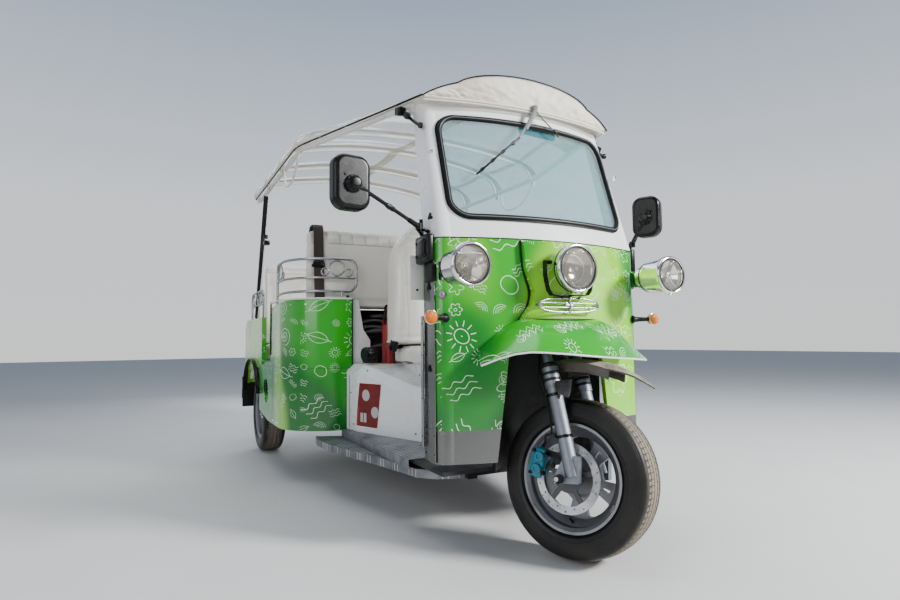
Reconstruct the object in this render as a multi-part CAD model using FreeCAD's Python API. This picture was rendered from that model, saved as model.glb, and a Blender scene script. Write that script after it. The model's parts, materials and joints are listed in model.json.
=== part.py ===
import FreeCAD, Part
import os
from math import sin, cos, tan, asin, radians

# Passenger three-wheeler: millimetres, Z up, facing -Y, the vehicle's left is +X.
# Every size below is set out from the ground under the front hub, on the centreline.
V = FreeCAD.Vector

# Gap between pieces that seat on each other
CLEAR = 0.3

# Running gear
WHEELBASE = 2755.0
TRACK = 1262.0
TYRE_D = 557.0
TYRE_W = 155.0
RIM_D = 378.0
RIM_INSET = 10.0
RIM_LIP = 9.0
RIM_FLANGE = 15.0
HUB_R = 58.0
SPOKES = 5
SPOKE_X = 20.0
SPOKE_GAP = 0.34
DISC_R = 122.0
DISC_T = 5.0
DISC_X = 88.0
DISC_BAND = 27.0
DISC_HOLES = 20
AXLE_R = 10.0

# Steering
RAKE = 18.0
STEER_PARKED = 25.5
TRAIL_ARM = 40.0
HUB_Y = -18.0
LEG_X = 124.0
SLIDER_R = 26.0
STANCHION_R = 18.0
CROWN_Z = 730.0
CROWN_T = 24.0
HEAD_Z0 = 800.0
HEAD_Z1 = 950.0
HEAD_R = 30.0
STEM_R = 14.0
BAR_Z = 1040.0
BAR_HALF = 300.0
BAR_SWEEP = 265.0
BAR_R = 11.0
GUARD_R = 405.0
GUARD_W = 150.0
GUARD_FRONT = 38.0
GUARD_REAR = 16.0
GUARD_T = 4.0
GUARD_SKIRT = 34.0
GUARD_ARCH = 20.0

# Cab front
CAB_HALF = 480.0
CAB_BOW_Y = 95.0
CAB_CORNER_Y = 172.0
CORNER_R = 55.0
CAB_BACK_Y = 300.0
SHELL_T = 22.0
KICK_Z0 = 330.0
WRAP_Z0 = 450.0
KICK_CORNER_R = 50.0
WAIST_Z = 1154.0
RAKE_TAN = 0.328
DASH_Z = WAIST_Z - 149.0
HEADER_Z = 1735.0
HEADER_HALF = 458.0
HEADER_BACK = 150.0
WIN_BOT_Z = 1240.0
WIN_TOP_Z = 1668.0
WIN_BOT_HALF = 411.0
WIN_TOP_HALF = 404.0
WIN_R = 70.0
GLASS_T = 5.0
SEAL_W = 14.0
ARCH_R = 338.0
ARCH_Y = -50.0
ARCH_T = 10.0
ARCH_TOP = 838.0

# Nose, lamps and mirrors
NOSE_Y = 48.0
NOSE_TOP_Z = 1142.0
NOSE_WAIST_Z = 955.0
NOSE_LOW_Z = 840.0
NOSE_TOP_HALF = 168.0
NOSE_WAIST_HALF = 130.0
NOSE_LOW_HALF = 190.0
BEAK_HALF = 384.0
BEAK_TIP_Y = 39.0
BEAK_TIP_Z = 690.0
BEAK_FRONT_Y = -105.0
BEAK_FRONT_Z = 735.0
BEAK_ROOT_Z = 806.0
BEAK_T = 6.0
HEADLAMP_R = 87.0
HEADLAMP_L = 76.0
HEADLAMP_BOWL = 0.6
HEADLAMP_Y = -22.0
HEADLAMP_Z = 1037.0
SIDELAMP_R = 72.0
SIDELAMP_BOWL = 0.38
SIDELAMP_X = 458.0
SIDELAMP_Y = -39.0
SIDELAMP_Z = 1029.0
SIDELAMP_L = 190.0
INDICATOR_X = 530.0
INDICATOR_Y = 130.0
INDICATOR_Z = 857.0
INDICATOR_R = 23.0
LENS_SEAT = 7.0
LENS_SUNK = 2.0
LENS_T = 5.0
LENS_DOME = 8.0
MIRROR_DEEP = 22.0
MIRROR_R = 44.0
MIRROR_ARM_R = 7.0
# side, head centre x, y, z, then head half width and half height, then turn about Z
MIRRORS = ((-1, -812.0, 160.0, 1312.0, 68.0, 95.0, 8.0),
           (1, 566.0, 188.0, 1318.0, 62.0, 92.0, -62.0))

# Floor, chassis and motor
FLOOR_Z = 285.0
FLOOR_T = 15.0
RAIL_X = 250.0
RAIL_W = 40.0
RAIL_H = 60.0
RAIL_Y0 = 352.0
REAR_Y = 3120.0
KICK_UP_Z = 400.0
KICK_UP_RUN = 70.0
SPRING_HALF = 250.0
MOTOR_HALF = 170.0
STEP_Z = 262.0
STEP_T = 5.0
STEP_LIP = 29.0
# x, y along the outer edge of the right step, from the front inner corner back
STEP_EDGE = ((-300.0, 372.0), (-383.0, 400.0), (-445.0, 471.0), (-465.0, 593.0), (-510.0, 816.0),
             (-600.0, 1190.0),
             (-612.0, 1400.0), (-595.0, 1500.0), (-470.0, 1440.0))

# Passenger body
BODY_HALF = 750.0
BODY_T = 30.0
BODY_Z0 = 290.0
CORNER_Y = 1450.0
CORNER_X = BODY_HALF - 345.0
CORNER_BEND = 260.0
ENTRY_Y0 = 2005.0
ENTRY_Y1 = 2350.0
SILL_Z = 664.0
SIDE_TOP_FRONT = 1016.0
SIDE_TOP_REAR = 985.0
ARCH_FRONT_Y = 2420.0
QUARTER_Z0 = 620.0
QUARTER_Z1 = 945.0
TAIL_Z0 = 450.0
PLATE_PITCH = 300.0
PLATE_Z = 620.0
PLATE_HOLE_R = 3.5

RAIL_BARS = (1058.0, 1134.0, 1240.0)
GUARD_TUBE_R = 8.0
GUARD_BEND = 50.0
GUARD_END_Y = 1880.0
GUARD_END_X = CORNER_X - 30.0
RING_R = 42.0
SMALL_RING_R = 20.0

# Roof
RAIL_R = 14.0
FRONT_HOOP_Y = 325.0
FRONT_HOOP_Z = 1742.0
FRONT_CROWN_Y = 262.0
FRONT_CROWN_Z = 1868.0
KINK_Y = 1296.0
KINK_Z = 1786.0
ROOF_HALF = BODY_HALF - 5.0
ROOF_END_Y = 2640.0
ROOF_END_Z = 1806.0
ROOF_CROWN_Z = 2030.0
CANOPY_T = 9.0
HOOP_Y = (1750.0, 2200.0)
HOOP_R = 10.0
HOOP_GAP = 9.0

# Seats
BENCH_HALF = BODY_HALF - 50.0
BENCH_SEAT_Z = 700.0
CUSHION_T = 110.0
BACK_T = 90.0
BENCH_FRONT_Y = CORNER_Y + 62.0
BENCH_BACK_Z0 = 955.0
BENCH_DEPTH = 470.0
BACK_CORNER_R = 75.0
BENCH_BACK_Z1 = 1420.0
SHEET_T = 12.0
DRIVER_BACK_T = 120.0
DRIVER_BACK = ((272.0, 742.0), (252.0, 1200.0), (206.0, 1340.0), (110.0, 1435.0), (0.0, 1460.0))
PLINTH_FRONT_Y = 820.0
PLINTH_REAR_Y = 1440.0
PLINTH_Z0 = 530.0
PLINTH_Z1 = 652.0


def box(x0, x1, y0, y1, z0, z1):
    return Part.makeBox(x1 - x0, y1 - y0, z1 - z0, V(x0, y0, z0))


def rod(p, q, r):
    p, q = V(*p), V(*q)
    return Part.makeCylinder(r, (q - p).Length, p, q - p)


def mirrored(shape):
    return shape.mirror(V(0, 0, 0), V(1, 0, 0))


def both(shape):
    return [shape, mirrored(shape)]


def fuse(shapes):
    first, rest = shapes[0], shapes[1:]
    return first.multiFuse(rest).removeSplitter() if rest else first


def polygon(points):
    return Part.makePolygon([V(*p) for p in points] + [V(*points[0])])


def prism(points, push):
    return Part.Face(polygon(points)).extrude(V(*push))


def plate(points, z0, z1):
    return prism([(x, y, z0) for x, y in points], (0, 0, z1 - z0))


def revolve(profile, origin, axis, start=(0, 0, 1)):
    """Turns a profile of (along, radius) points about the axis through origin."""
    a, s = V(*axis).normalize(), V(*start)
    points = [V(*origin) + a * u + s * r for u, r in profile]
    face = Part.Face(Part.makePolygon(points + [points[0]]))
    return face.revolve(V(*origin), a, 360)


def bent_path(points, bend):
    """Straight runs joined by tangent arcs: one bend radius, or one for each corner."""
    pts = [V(*p) for p in points]
    bends = bend if isinstance(bend, (list, tuple)) else [bend] * (len(pts) - 2)
    edges, last = [], pts[0]
    for a, b, c, r in zip(pts, pts[1:], pts[2:], bends):
        u, w = (a - b).normalize(), (c - b).normalize()
        half = u.getAngle(w) / 2
        cut = r / tan(half)
        start, end = b + u * cut, b + w * cut
        middle = b + (u + w).normalize() * (r / sin(half) - r)
        if (start - last).Length > 0.01:
            edges.append(Part.LineSegment(last, start).toShape())
        edges.append(Part.Arc(start, middle, end).toShape())
        last = end
    edges.append(Part.LineSegment(last, pts[-1]).toShape())
    return Part.Wire(edges)


def bent_tube(points, bend, r):
    path = bent_path(points, bend)
    along = V(*points[1]) - V(*points[0])
    ring = Part.Wire(Part.makeCircle(r, V(*points[0]), along))
    return path.makePipeShell([ring], True, False)


def cab_outline(z, half, bow_y, corner_y, back_y, inset=0.0):
    """Plan outline of the cab front at one height: a bowed face, two round corners, two sides."""
    r = CORNER_R - inset
    w, y0, yc = half - inset, bow_y + inset, corner_y + inset
    face_x = w - r
    corner = (w - r * (1 - cos(radians(45))), yc + r * (1 - sin(radians(45))))
    edges = [Part.LineSegment(V(-w, back_y, z), V(-w, yc + r, z)),
             Part.Arc(V(-w, yc + r, z), V(-corner[0], corner[1], z), V(-face_x, yc, z)),
             Part.Arc(V(-face_x, yc, z), V(0, y0, z), V(face_x, yc, z)),
             Part.Arc(V(face_x, yc, z), V(corner[0], corner[1], z), V(w, yc + r, z)),
             Part.LineSegment(V(w, yc + r, z), V(w, back_y, z)),
             Part.LineSegment(V(w, back_y, z), V(-w, back_y, z))]
    return Part.Wire([e.toShape() for e in edges])


def cab_wall(z0, z1, leans, half_top=CAB_HALF):
    """The cab's bowed wall between two heights, open behind."""
    step = (z1 - WAIST_Z) * RAKE_TAN if leans else 0.0
    outer = Part.makeLoft([cab_outline(z0, CAB_HALF, CAB_BOW_Y, CAB_CORNER_Y, CAB_BACK_Y),
                           cab_outline(z1, half_top, CAB_BOW_Y + step, CAB_CORNER_Y + step,
                                       CAB_BACK_Y + (HEADER_BACK if leans else 0.0))], True, True)
    inner = Part.makeLoft([cab_outline(z0 - 1, CAB_HALF, CAB_BOW_Y, CAB_CORNER_Y, CAB_BACK_Y + 400,
                                       SHELL_T),
                           cab_outline(z1 + 1, half_top, CAB_BOW_Y + step, CAB_CORNER_Y + step,
                                       CAB_BACK_Y + 400, SHELL_T)], True, True)
    return outer.cut(inner)


def window_prism(grow, y0, y1):
    """A front-to-back block with the windscreen's rounded outline."""
    zb, zt = WIN_BOT_Z - grow, WIN_TOP_Z + grow
    wb, wt = WIN_BOT_HALF + grow, WIN_TOP_HALF + grow
    block = prism([(-wb, y0, zb), (wb, y0, zb), (wt, y0, zt), (-wt, y0, zt)], (0, y1 - y0, 0))
    edges = [e for e in block.Edges if abs(e.Vertexes[0].Y - e.Vertexes[-1].Y) > 1]
    return block.makeFillet(WIN_R + grow, edges)


def front_shell():
    """White windscreen frame, from the waist line up to the header."""
    wall = cab_wall(WAIST_Z, HEADER_Z, True, HEADER_HALF)
    return wall.cut(window_prism(0, -200, 420))


def wheel_opening():
    wheel = prism([(-272, -200, KICK_Z0 - 10), (272, -200, KICK_Z0 - 10), (205, -200, NOSE_LOW_Z - 8),
                   (-205, -200, NOSE_LOW_Z - 8)], (0, 480, 0))
    head = box(-NOSE_WAIST_HALF + 15, NOSE_WAIST_HALF - 15, -200, 280, NOSE_LOW_Z - 20, NOSE_WAIST_Z - 15)
    return wheel.fuse(head)


def front_panel():
    return cab_wall(WRAP_Z0, WAIST_Z, False).cut(wheel_opening())


def kick_plates():
    """Polished plates below the film, their lower corners rounded."""
    wall = cab_wall(KICK_Z0, WRAP_Z0, False).cut(wheel_opening())
    far = CAB_HALF + 20
    r = KICK_CORNER_R
    tool = box(-far, far, CAB_BACK_Y - r, CAB_BACK_Y + 1, KICK_Z0 - 1, KICK_Z0 + r)
    tool = tool.cut(rod((-far, CAB_BACK_Y - r, KICK_Z0 + r), (far, CAB_BACK_Y - r, KICK_Z0 + r), r))
    return wall.cut(tool)


def windscreen(grow, shrink, thick_out, thick_in):
    """A curved ring or sheet that follows the leaning bow of the frame."""
    def sheet(inset):
        step = (HEADER_Z - WAIST_Z) * RAKE_TAN
        return Part.makeLoft([cab_outline(WAIST_Z, CAB_HALF, CAB_BOW_Y, CAB_CORNER_Y, CAB_BACK_Y, inset),
                              cab_outline(HEADER_Z, HEADER_HALF, CAB_BOW_Y + step, CAB_CORNER_Y + step,
                                          CAB_BACK_Y + HEADER_BACK, inset)], True, True)
    skin = sheet(thick_out).cut(sheet(thick_in))
    band = skin.common(window_prism(grow, -200, 330))
    if shrink is not None:
        band = band.cut(window_prism(shrink, -200, 420))
    return band


def windshield():
    return windscreen(-1.0, None, 9.0, 9.0 + GLASS_T)


def windshield_gasket():
    return windscreen(SEAL_W, -0.6, -6.0, -CLEAR)


def wheel_arch():
    """Inner wheel housing: a half-round wall behind the front wheel, under a roof plate."""
    z0 = FLOOR_Z
    ring = Part.makeCylinder(ARCH_R + ARCH_T, ARCH_TOP - z0, V(0, ARCH_Y, z0))
    ring = ring.cut(Part.makeCylinder(ARCH_R, ARCH_TOP - ARCH_T - z0, V(0, ARCH_Y, z0)))
    front = CAB_CORNER_Y + 8
    keep = box(-CAB_HALF, CAB_HALF, front, ARCH_Y + 2 * ARCH_R, z0 - 1, ARCH_TOP + 1)
    hole = rod(*axis_span(HEAD_Z0 - 20, HEAD_Z1), HEAD_R + CLEAR)
    return ring.common(keep).cut(hole).cut(chassis_frame())


def axis_point(z):
    foot_y = HUB_Y - TRAIL_ARM * cos(radians(RAKE)) * cos(radians(STEER_PARKED))
    foot_z = front_hub_z() + TRAIL_ARM * sin(radians(RAKE)) * cos(radians(STEER_PARKED))
    return (0.0, foot_y + (z - foot_z) * tan(radians(RAKE)), z)


def axis_span(z0, z1):
    return axis_point(z0), axis_point(z1)


def steering_axis():
    return V(0, sin(radians(RAKE)), cos(radians(RAKE)))


def steered(shape, angle=STEER_PARKED):
    turned = shape.copy()
    turned.rotate(V(*axis_point(FLOOR_Z)), steering_axis(), angle)
    return turned


def hub_straight():
    """The front hub with the wheel straight ahead."""
    foot = V(*axis_point(0))
    along = steering_axis()
    parked = V(-TRAIL_ARM * sin(radians(STEER_PARKED)), HUB_Y, front_hub_z())
    foot = foot + along * ((parked - foot).dot(along))
    return foot + V(0, cos(radians(RAKE)), -sin(radians(RAKE))) * TRAIL_ARM


def tyre_profile():
    """Half of the tyre's section as (along, radius): flat tread, round shoulder, bulged wall, bead."""
    r, w = TYRE_D / 2, TYRE_W / 2
    seat, wall = RIM_D / 2 - RIM_FLANGE + CLEAR, w - RIM_INSET - RIM_LIP - CLEAR
    half = [(0.0, r), (0.39 * w, r - 0.5), (0.72 * w, r - 4.5), (0.9 * w, r - 15), (0.985 * w, r - 36),
            (w, r - 56), (0.95 * w, r - 78), (wall + 4, RIM_D / 2 + 1.5), (wall, RIM_D / 2 - 2),
            (wall, seat + 2)]
    inner = [(wall - 24, seat), (wall - 18, seat + 16), (0.78 * w, r - 66), (0.62 * w, r - 16), (0.0, r - 12)]
    return half + inner


def front_hub_z():
    """Height of the parked front hub: the steered wheel leans, so it stands on its shoulder."""
    lean = asin(sin(radians(STEER_PARKED)) * sin(radians(RAKE)))
    return max(v * cos(lean) + u * sin(lean) for u, v in tyre_profile())


def tyre(hub):
    ring = tyre_profile()
    left = revolve(ring, hub, (1, 0, 0))
    right = revolve([(-u, v) for u, v in ring], hub, (1, 0, 0))
    return left.fuse(right).removeSplitter()


def rim(hub, side):
    """Cast wheel: a stepped barrel with two lips, and a dished face pierced between its spokes."""
    w, lip = TYRE_W / 2 - RIM_INSET, RIM_D / 2
    seat = lip - RIM_FLANGE
    profile = [(-w, lip), (-w + RIM_LIP - 2, lip), (-w + RIM_LIP, seat + 2), (-w + 34, seat),
               (-w + 50, seat - 22),
               (w - 50, seat - 22), (w - 34, seat), (w - RIM_LIP, seat + 2), (w - RIM_LIP + 2, lip), (w, lip),
               (w, lip - 9),
               (w - 10, seat - 6), (w - 34, seat - 8), (w - 52, seat - 30), (-w + 52, seat - 30),
               (-w + 34, seat - 8), (-w + 10, seat - 6), (-w, lip - 9)]
    x0, y0, z0 = hub
    c = side * SPOKE_X
    reach = seat - 26
    face = revolve([(c - 17, 0), (c - 17, HUB_R), (c - 9, HUB_R + 12), (c - 9, reach), (c + 9, reach),
                    (c + 9, HUB_R + 12),
                    (c + 17, HUB_R), (c + 17, 0)], hub, (1, 0, 0))
    for k in range(SPOKES):
        turn = 360.0 / SPOKES * k
        a, b = HUB_R + 24, reach - 8
        window = prism([(-30, -SPOKE_GAP * a, a), (-30, SPOKE_GAP * a, a), (-30, SPOKE_GAP * b, b - 10),
                        (-30, SPOKE_GAP * 0.5 * b, b), (-30, -SPOKE_GAP * 0.5 * b, b),
                        (-30, -SPOKE_GAP * b, b - 10)],
                       (60, 0, 0))
        corners = [e for e in window.Edges if abs(e.Vertexes[0].X - e.Vertexes[-1].X) > 1]
        window = window.makeFillet(7, corners)
        slot = prism([(-30, -4, a + 6), (-30, 4, a + 6), (-30, 7, b - 22), (-30, -7, b - 22)], (60, 0, 0))
        for tool, extra in ((window, 0.0), (slot, 180.0 / SPOKES)):
            cutter = tool.copy()
            cutter.rotate(V(0, 0, 0), V(1, 0, 0), turn + extra)
            cutter.translate(V(x0 + c, y0, z0))
            face = face.cut(cutter)
    bore = Part.makeCylinder(AXLE_R + 0.05, 400, V(x0 - 200, y0, z0), V(1, 0, 0))
    return fuse([revolve(profile, hub, (1, 0, 0)), face]).cut(bore)


def front_disc(hub):
    """Drilled brake ring on a five-armed carrier."""
    x0, y0, z0 = hub
    x, inner = x0 - DISC_X, DISC_R - DISC_BAND
    ring = Part.makeCylinder(DISC_R, DISC_T, V(x, y0, z0), V(1, 0, 0))
    ring = ring.cut(Part.makeCylinder(inner, DISC_T + 2, V(x - 1, y0, z0), V(1, 0, 0)))
    holes = []
    for k in range(DISC_HOLES):
        turn = radians(360.0 / DISC_HOLES * k)
        radius = DISC_R - (9 if k % 2 else DISC_BAND - 9)
        holes.append(Part.makeCylinder(3.5, DISC_T + 2,
                                       V(x - 1, y0 + radius * cos(turn), z0 + radius * sin(turn)),
                                       V(1, 0, 0)))
    pieces = [ring.cut(Part.makeCompound(holes)),
              Part.makeCylinder(HUB_R - 8, DISC_T, V(x, y0, z0), V(1, 0, 0)),
              Part.makeCylinder(34, DISC_X - 37 + SPOKE_X - 20, V(x, y0, z0), V(1, 0, 0))]
    for k in range(SPOKES):
        arm = box(x, x + DISC_T, y0 - 9, y0 + 9, z0 + HUB_R - 12, z0 + inner + 3)
        arm.rotate(V(x, y0, z0), V(1, 0, 0), 360.0 / SPOKES * k)
        pieces.append(arm)
    bore = Part.makeCylinder(AXLE_R + 0.05, 200, V(x - 20, y0, z0), V(1, 0, 0))
    return fuse(pieces).cut(bore)


def leg_point(side, z):
    x, y, zz = axis_point(z)
    return (side * LEG_X, y, zz)


def fork(hub):
    """Crown, stem, two telescopic legs with leading lugs, and the wheel spindle."""
    crown = prism([(-LEG_X - 30, 0, 0), (-LEG_X, -32, 0), (LEG_X, -32, 0), (LEG_X + 30, 0, 0),
                   (LEG_X, 32, 0), (0, 44, 0), (-LEG_X, 32, 0)], (0, 0, CROWN_T))
    crown.rotate(V(0, 0, 0), V(1, 0, 0), -RAKE)
    crown.translate(V(*axis_point(CROWN_Z)))
    pieces = [crown, rod(*axis_span(CROWN_Z + 5, BAR_Z - 20), STEM_R)]
    low = hub.z + 12
    for side in (-1, 1):
        top, mid, seal, foot = (leg_point(side, z) for z in (CROWN_Z + 8, 640, 655, low))
        pieces.append(rod(top, mid, STANCHION_R))
        pieces.append(rod(leg_point(side, 585), seal, SLIDER_R + 4))
        pieces.append(rod(leg_point(side, 600), foot, SLIDER_R))
        lug = prism([(side * LEG_X - 14, foot[1] - 20, low + 70), (side * LEG_X - 14, foot[1] - 26, low - 20),
                     (side * LEG_X - 14, hub.y + 20, hub.z - 18), (side * LEG_X - 14, hub.y + 22, hub.z + 16),
                     (side * LEG_X - 14, foot[1] + 30, low + 70)], (28, 0, 0))
        pieces.append(lug)
    spindle = rod((-LEG_X - 26, hub.y, hub.z), (LEG_X + 26, hub.y, hub.z), AXLE_R)
    return fuse(pieces + [spindle])


def handlebar():
    """Handlebar with risers and grips, on top of the stem."""
    _, y, z = axis_point(BAR_Z)
    bar = bent_tube([(-BAR_HALF, y + BAR_SWEEP, z + 40), (-130, y + 20, z + 45), (130, y + 20, z + 45),
                     (BAR_HALF, y + BAR_SWEEP, z + 40)], 60, BAR_R)
    clamp = box(-40, 40, y - 20, y + 42, z - 20, z + 62)
    grips = []
    for side in (-1, 1):
        a, b = V(side * BAR_HALF, y + BAR_SWEEP, z + 40), V(side * 130, y + 20, z + 45)
        d = (b - a).normalize()
        grips.append(Part.makeCylinder(17, 120, a - d * 4, d))
    return fuse([bar, clamp] + grips).cut(rod(*axis_span(BAR_Z - 60, BAR_Z - 20), STEM_R))


def fork_mudguard(hub):
    """High mudguard under the crown: arched across, with skirts, and drawn to a point at the front."""
    r, w, t = GUARD_R, GUARD_W / 2, GUARD_T
    outside = [(-w, r - GUARD_SKIRT), (-w, r), (-0.55 * w, r + GUARD_ARCH * 0.8), (0, r + GUARD_ARCH),
               (0.55 * w, r + GUARD_ARCH * 0.8), (w, r), (w, r - GUARD_SKIRT)]
    inside = [(w - t, r - GUARD_SKIRT), (w - t, r - t), (0.5 * w, r + GUARD_ARCH * 0.8 - t),
              (0, r + GUARD_ARCH - t),
              (-0.5 * w, r + GUARD_ARCH * 0.8 - t), (-w + t, r - t), (-w + t, r - GUARD_SKIRT)]
    shell = revolve(outside + inside, tuple(hub), (1, 0, 0))
    a0, a1 = radians(GUARD_FRONT), radians(GUARD_REAR)
    far = r * 2
    wedge = prism([(-w - 1, hub.y, hub.z), (-w - 1, hub.y - far * sin(a0), hub.z + far * cos(a0)),
                   (-w - 1, hub.y + far * sin(a1), hub.z + far * cos(a1))], (2 * w + 2, 0, 0))
    tip_y = hub.y - (r + GUARD_ARCH) * sin(a0)
    rear_y = hub.y + far * sin(a1)
    plan = plate([(0, tip_y), (w * 0.45, tip_y + 45), (w + 1, tip_y + 150), (w + 1, rear_y), (-w - 1, rear_y),
                  (-w - 1, tip_y + 150), (-w * 0.45, tip_y + 45)], hub.z, hub.z + 2 * r)
    leaf = shell.common(wedge).common(plan)
    post = rod((0, axis_point(hub.z + r)[1] - 12, hub.z + r + 4), axis_point(CROWN_Z + 4), 12)
    legs = Part.makeCompound([rod(leg_point(s, 560), leg_point(s, CROWN_Z), SLIDER_R + 6) for s in (-1, 1)])
    return leaf.fuse(post).cut(legs).cut(fork(hub))


def brake_caliper(hub):
    """Two-piston caliper astride the disc, behind the right leg."""
    x = -DISC_X + DISC_T / 2
    body = box(x - 30, x + 14, hub.y + 62, hub.y + 142, hub.z - 10, hub.z + 86)
    slot = box(x - DISC_T / 2 - 2.5, x + DISC_T / 2 + 2.5, hub.y, hub.y + DISC_R + 4, hub.z - 60, hub.z + 200)
    ears = box(x - 30, x - 14, hub.y - 16, hub.y + 64, hub.z + 44, hub.z + 80)
    shape = body.cut(slot).fuse(ears)
    return shape.cut(fork(hub))


def nose_cowl():
    """Raised centre panel that carries the headlamp."""
    t, w, m = NOSE_TOP_HALF, NOSE_WAIST_HALF, NOSE_LOW_HALF
    face = [(-t, NOSE_TOP_Z), (t, NOSE_TOP_Z), (t - 6, NOSE_WAIST_Z + 90), (w, NOSE_WAIST_Z),
            (w + 12, NOSE_WAIST_Z - 50), (m, NOSE_LOW_Z), (-m, NOSE_LOW_Z), (-w - 12, NOSE_WAIST_Z - 50),
            (-w, NOSE_WAIST_Z), (-t + 6, NOSE_WAIST_Z + 90)]
    block = prism([(x, NOSE_Y, z) for x, z in face], (0, 120, 0))
    cab = Part.Face(cab_outline(0, CAB_HALF, CAB_BOW_Y, CAB_CORNER_Y, CAB_BACK_Y)).extrude(V(0, 0, 1300))
    bow_r = 420.0
    crown = Part.makeCylinder(bow_r, 1300, V(0, NOSE_Y + bow_r, 0))
    hollow = Part.makeCylinder(bow_r - 12, 1300, V(0, NOSE_Y + bow_r, 0))
    hollow = hollow.common(box(-w + 14, w - 14, -100, 400, NOSE_LOW_Z + 14, NOSE_TOP_Z - 14))
    head = rod(*axis_span(HEAD_Z0, HEAD_Z1), HEAD_R + CLEAR)
    return block.common(crown).cut(cab).cut(hollow).cut(head)


def nose_mudguard():
    """Wide fixed mudguard under the nose: a drooping shelf, arched across, with two pointed tips."""
    def strip(drop):
        return [V(0, y, z - drop) for y, z in ((CAB_BOW_Y + 95, NOSE_LOW_Z + 34), (10, BEAK_ROOT_Z),
                                               (BEAK_FRONT_Y - 10, BEAK_FRONT_Z - 7))]
    top, low = strip(0.0), strip(BEAK_T)
    edges = [Part.Arc(*top), Part.LineSegment(top[2], low[2]), Part.Arc(*reversed(low)),
             Part.LineSegment(low[0], top[0])]
    face = Part.Face(Part.Wire([e.toShape() for e in edges]))
    droop = BEAK_FRONT_Z - BEAK_TIP_Z
    arch_r = (BEAK_HALF ** 2 + droop ** 2) / (2 * droop)
    face.rotate(V(0, 0, BEAK_FRONT_Z - arch_r), V(0, 1, 0), -17)
    skin = face.revolve(V(0, 0, BEAK_FRONT_Z - arch_r), V(0, 1, 0), 34)
    rim = [Part.Arc(V(-BEAK_HALF, BEAK_TIP_Y, 0), V(0, BEAK_FRONT_Y, 0), V(BEAK_HALF, BEAK_TIP_Y, 0)),
           Part.LineSegment(V(BEAK_HALF, BEAK_TIP_Y, 0), V(BEAK_HALF, CAB_CORNER_Y, 0)),
           Part.LineSegment(V(BEAK_HALF, CAB_CORNER_Y, 0), V(-BEAK_HALF, CAB_CORNER_Y, 0)),
           Part.LineSegment(V(-BEAK_HALF, CAB_CORNER_Y, 0), V(-BEAK_HALF, BEAK_TIP_Y, 0))]
    plan = Part.Face(Part.Wire([e.toShape() for e in rim])).extrude(V(0, 0, 1200))
    head = rod(*axis_span(HEAD_Z0, HEAD_Z1), HEAD_R + CLEAR)
    return skin.common(plan).cut(nose_cowl()).cut(cab_block()).cut(head)


def lamp_shell(centre, r, length, depth):
    """Bullet lamp body, hollow behind its lens: rolled rim, straight drum and round back."""
    profile = [(0, r), (5, r + 3), (12, r + 3.5), (22, r + 2), (26, r - 3), (length * 0.55, r - 8),
               (length * 0.8, r * 0.68), (length * 0.95, r * 0.34), (length, 0), (depth, 0),
               (depth * 0.9, r * 0.4), (14, r - 10), (14, r - 8), (0, r - 6)]
    return revolve(profile, centre, (0, 1, 0))


def lens(centre, r):
    """A domed glass that fills the lamp's rim."""
    rim, front, back = r - LENS_SEAT, LENS_SUNK, LENS_SUNK + LENS_T
    profile = [(-LENS_DOME, 0), (-LENS_DOME * 0.55, r * 0.55), (front, rim), (back, rim), (back, 0)]
    return revolve(profile, centre, (0, 1, 0))


def headlamp():
    centre = (0, HEADLAMP_Y, HEADLAMP_Z)
    shell = lamp_shell(centre, HEADLAMP_R, HEADLAMP_L, HEADLAMP_L * HEADLAMP_BOWL)
    foot = rod((0, HEADLAMP_Y + 30, HEADLAMP_Z - HEADLAMP_R + 14),
               (0, NOSE_Y + 1, HEADLAMP_Z - HEADLAMP_R + 14), 12)
    cowl = nose_cowl()
    return shell.fuse(foot).cut(cowl)


def side_lamps():
    """Two chrome bullets, each on a bracket from the cab corner."""
    shapes = []
    for side in (-1, 1):
        centre = (side * SIDELAMP_X, SIDELAMP_Y, SIDELAMP_Z)
        shell = lamp_shell(centre, SIDELAMP_R, SIDELAMP_L, SIDELAMP_L * SIDELAMP_BOWL)
        bracket = box(-9, 9, 0, 60, -34, 34)
        bracket.translate(V(side * (SIDELAMP_X + 4), CAB_CORNER_Y - 42, SIDELAMP_Z))
        shapes.append(shell.fuse(bracket).cut(cab_block()))
    return Part.makeCompound(shapes)


def cab_block():
    return Part.Face(cab_outline(0, CAB_HALF, CAB_BOW_Y, CAB_CORNER_Y, CAB_BACK_Y)).extrude(V(0, 0, WAIST_Z))


def lamp_lenses():
    centres = [(0, HEADLAMP_Y, HEADLAMP_Z, HEADLAMP_R)]
    centres += [(s * SIDELAMP_X, SIDELAMP_Y, SIDELAMP_Z, SIDELAMP_R) for s in (-1, 1)]
    return Part.makeCompound([lens((x, y, z), r - CLEAR) for x, y, z, r in centres])


def indicators():
    shapes = []
    for side in (-1, 1):
        x, y, z = side * INDICATOR_X, INDICATOR_Y, INDICATOR_Z
        bulb = revolve([(-16, 0), (-13, INDICATOR_R * 0.6), (-4, INDICATOR_R), (12, INDICATOR_R), (22, 10),
                        (22, 0)], (x, y, z), (0, 1, 0))
        stalk = rod((x, y + 14, z), (side * (CAB_HALF - 26), CAB_CORNER_Y + 44, z), 8)
        shapes.append(bulb.fuse(stalk).cut(cab_block()))
    return Part.makeCompound(shapes)


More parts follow.
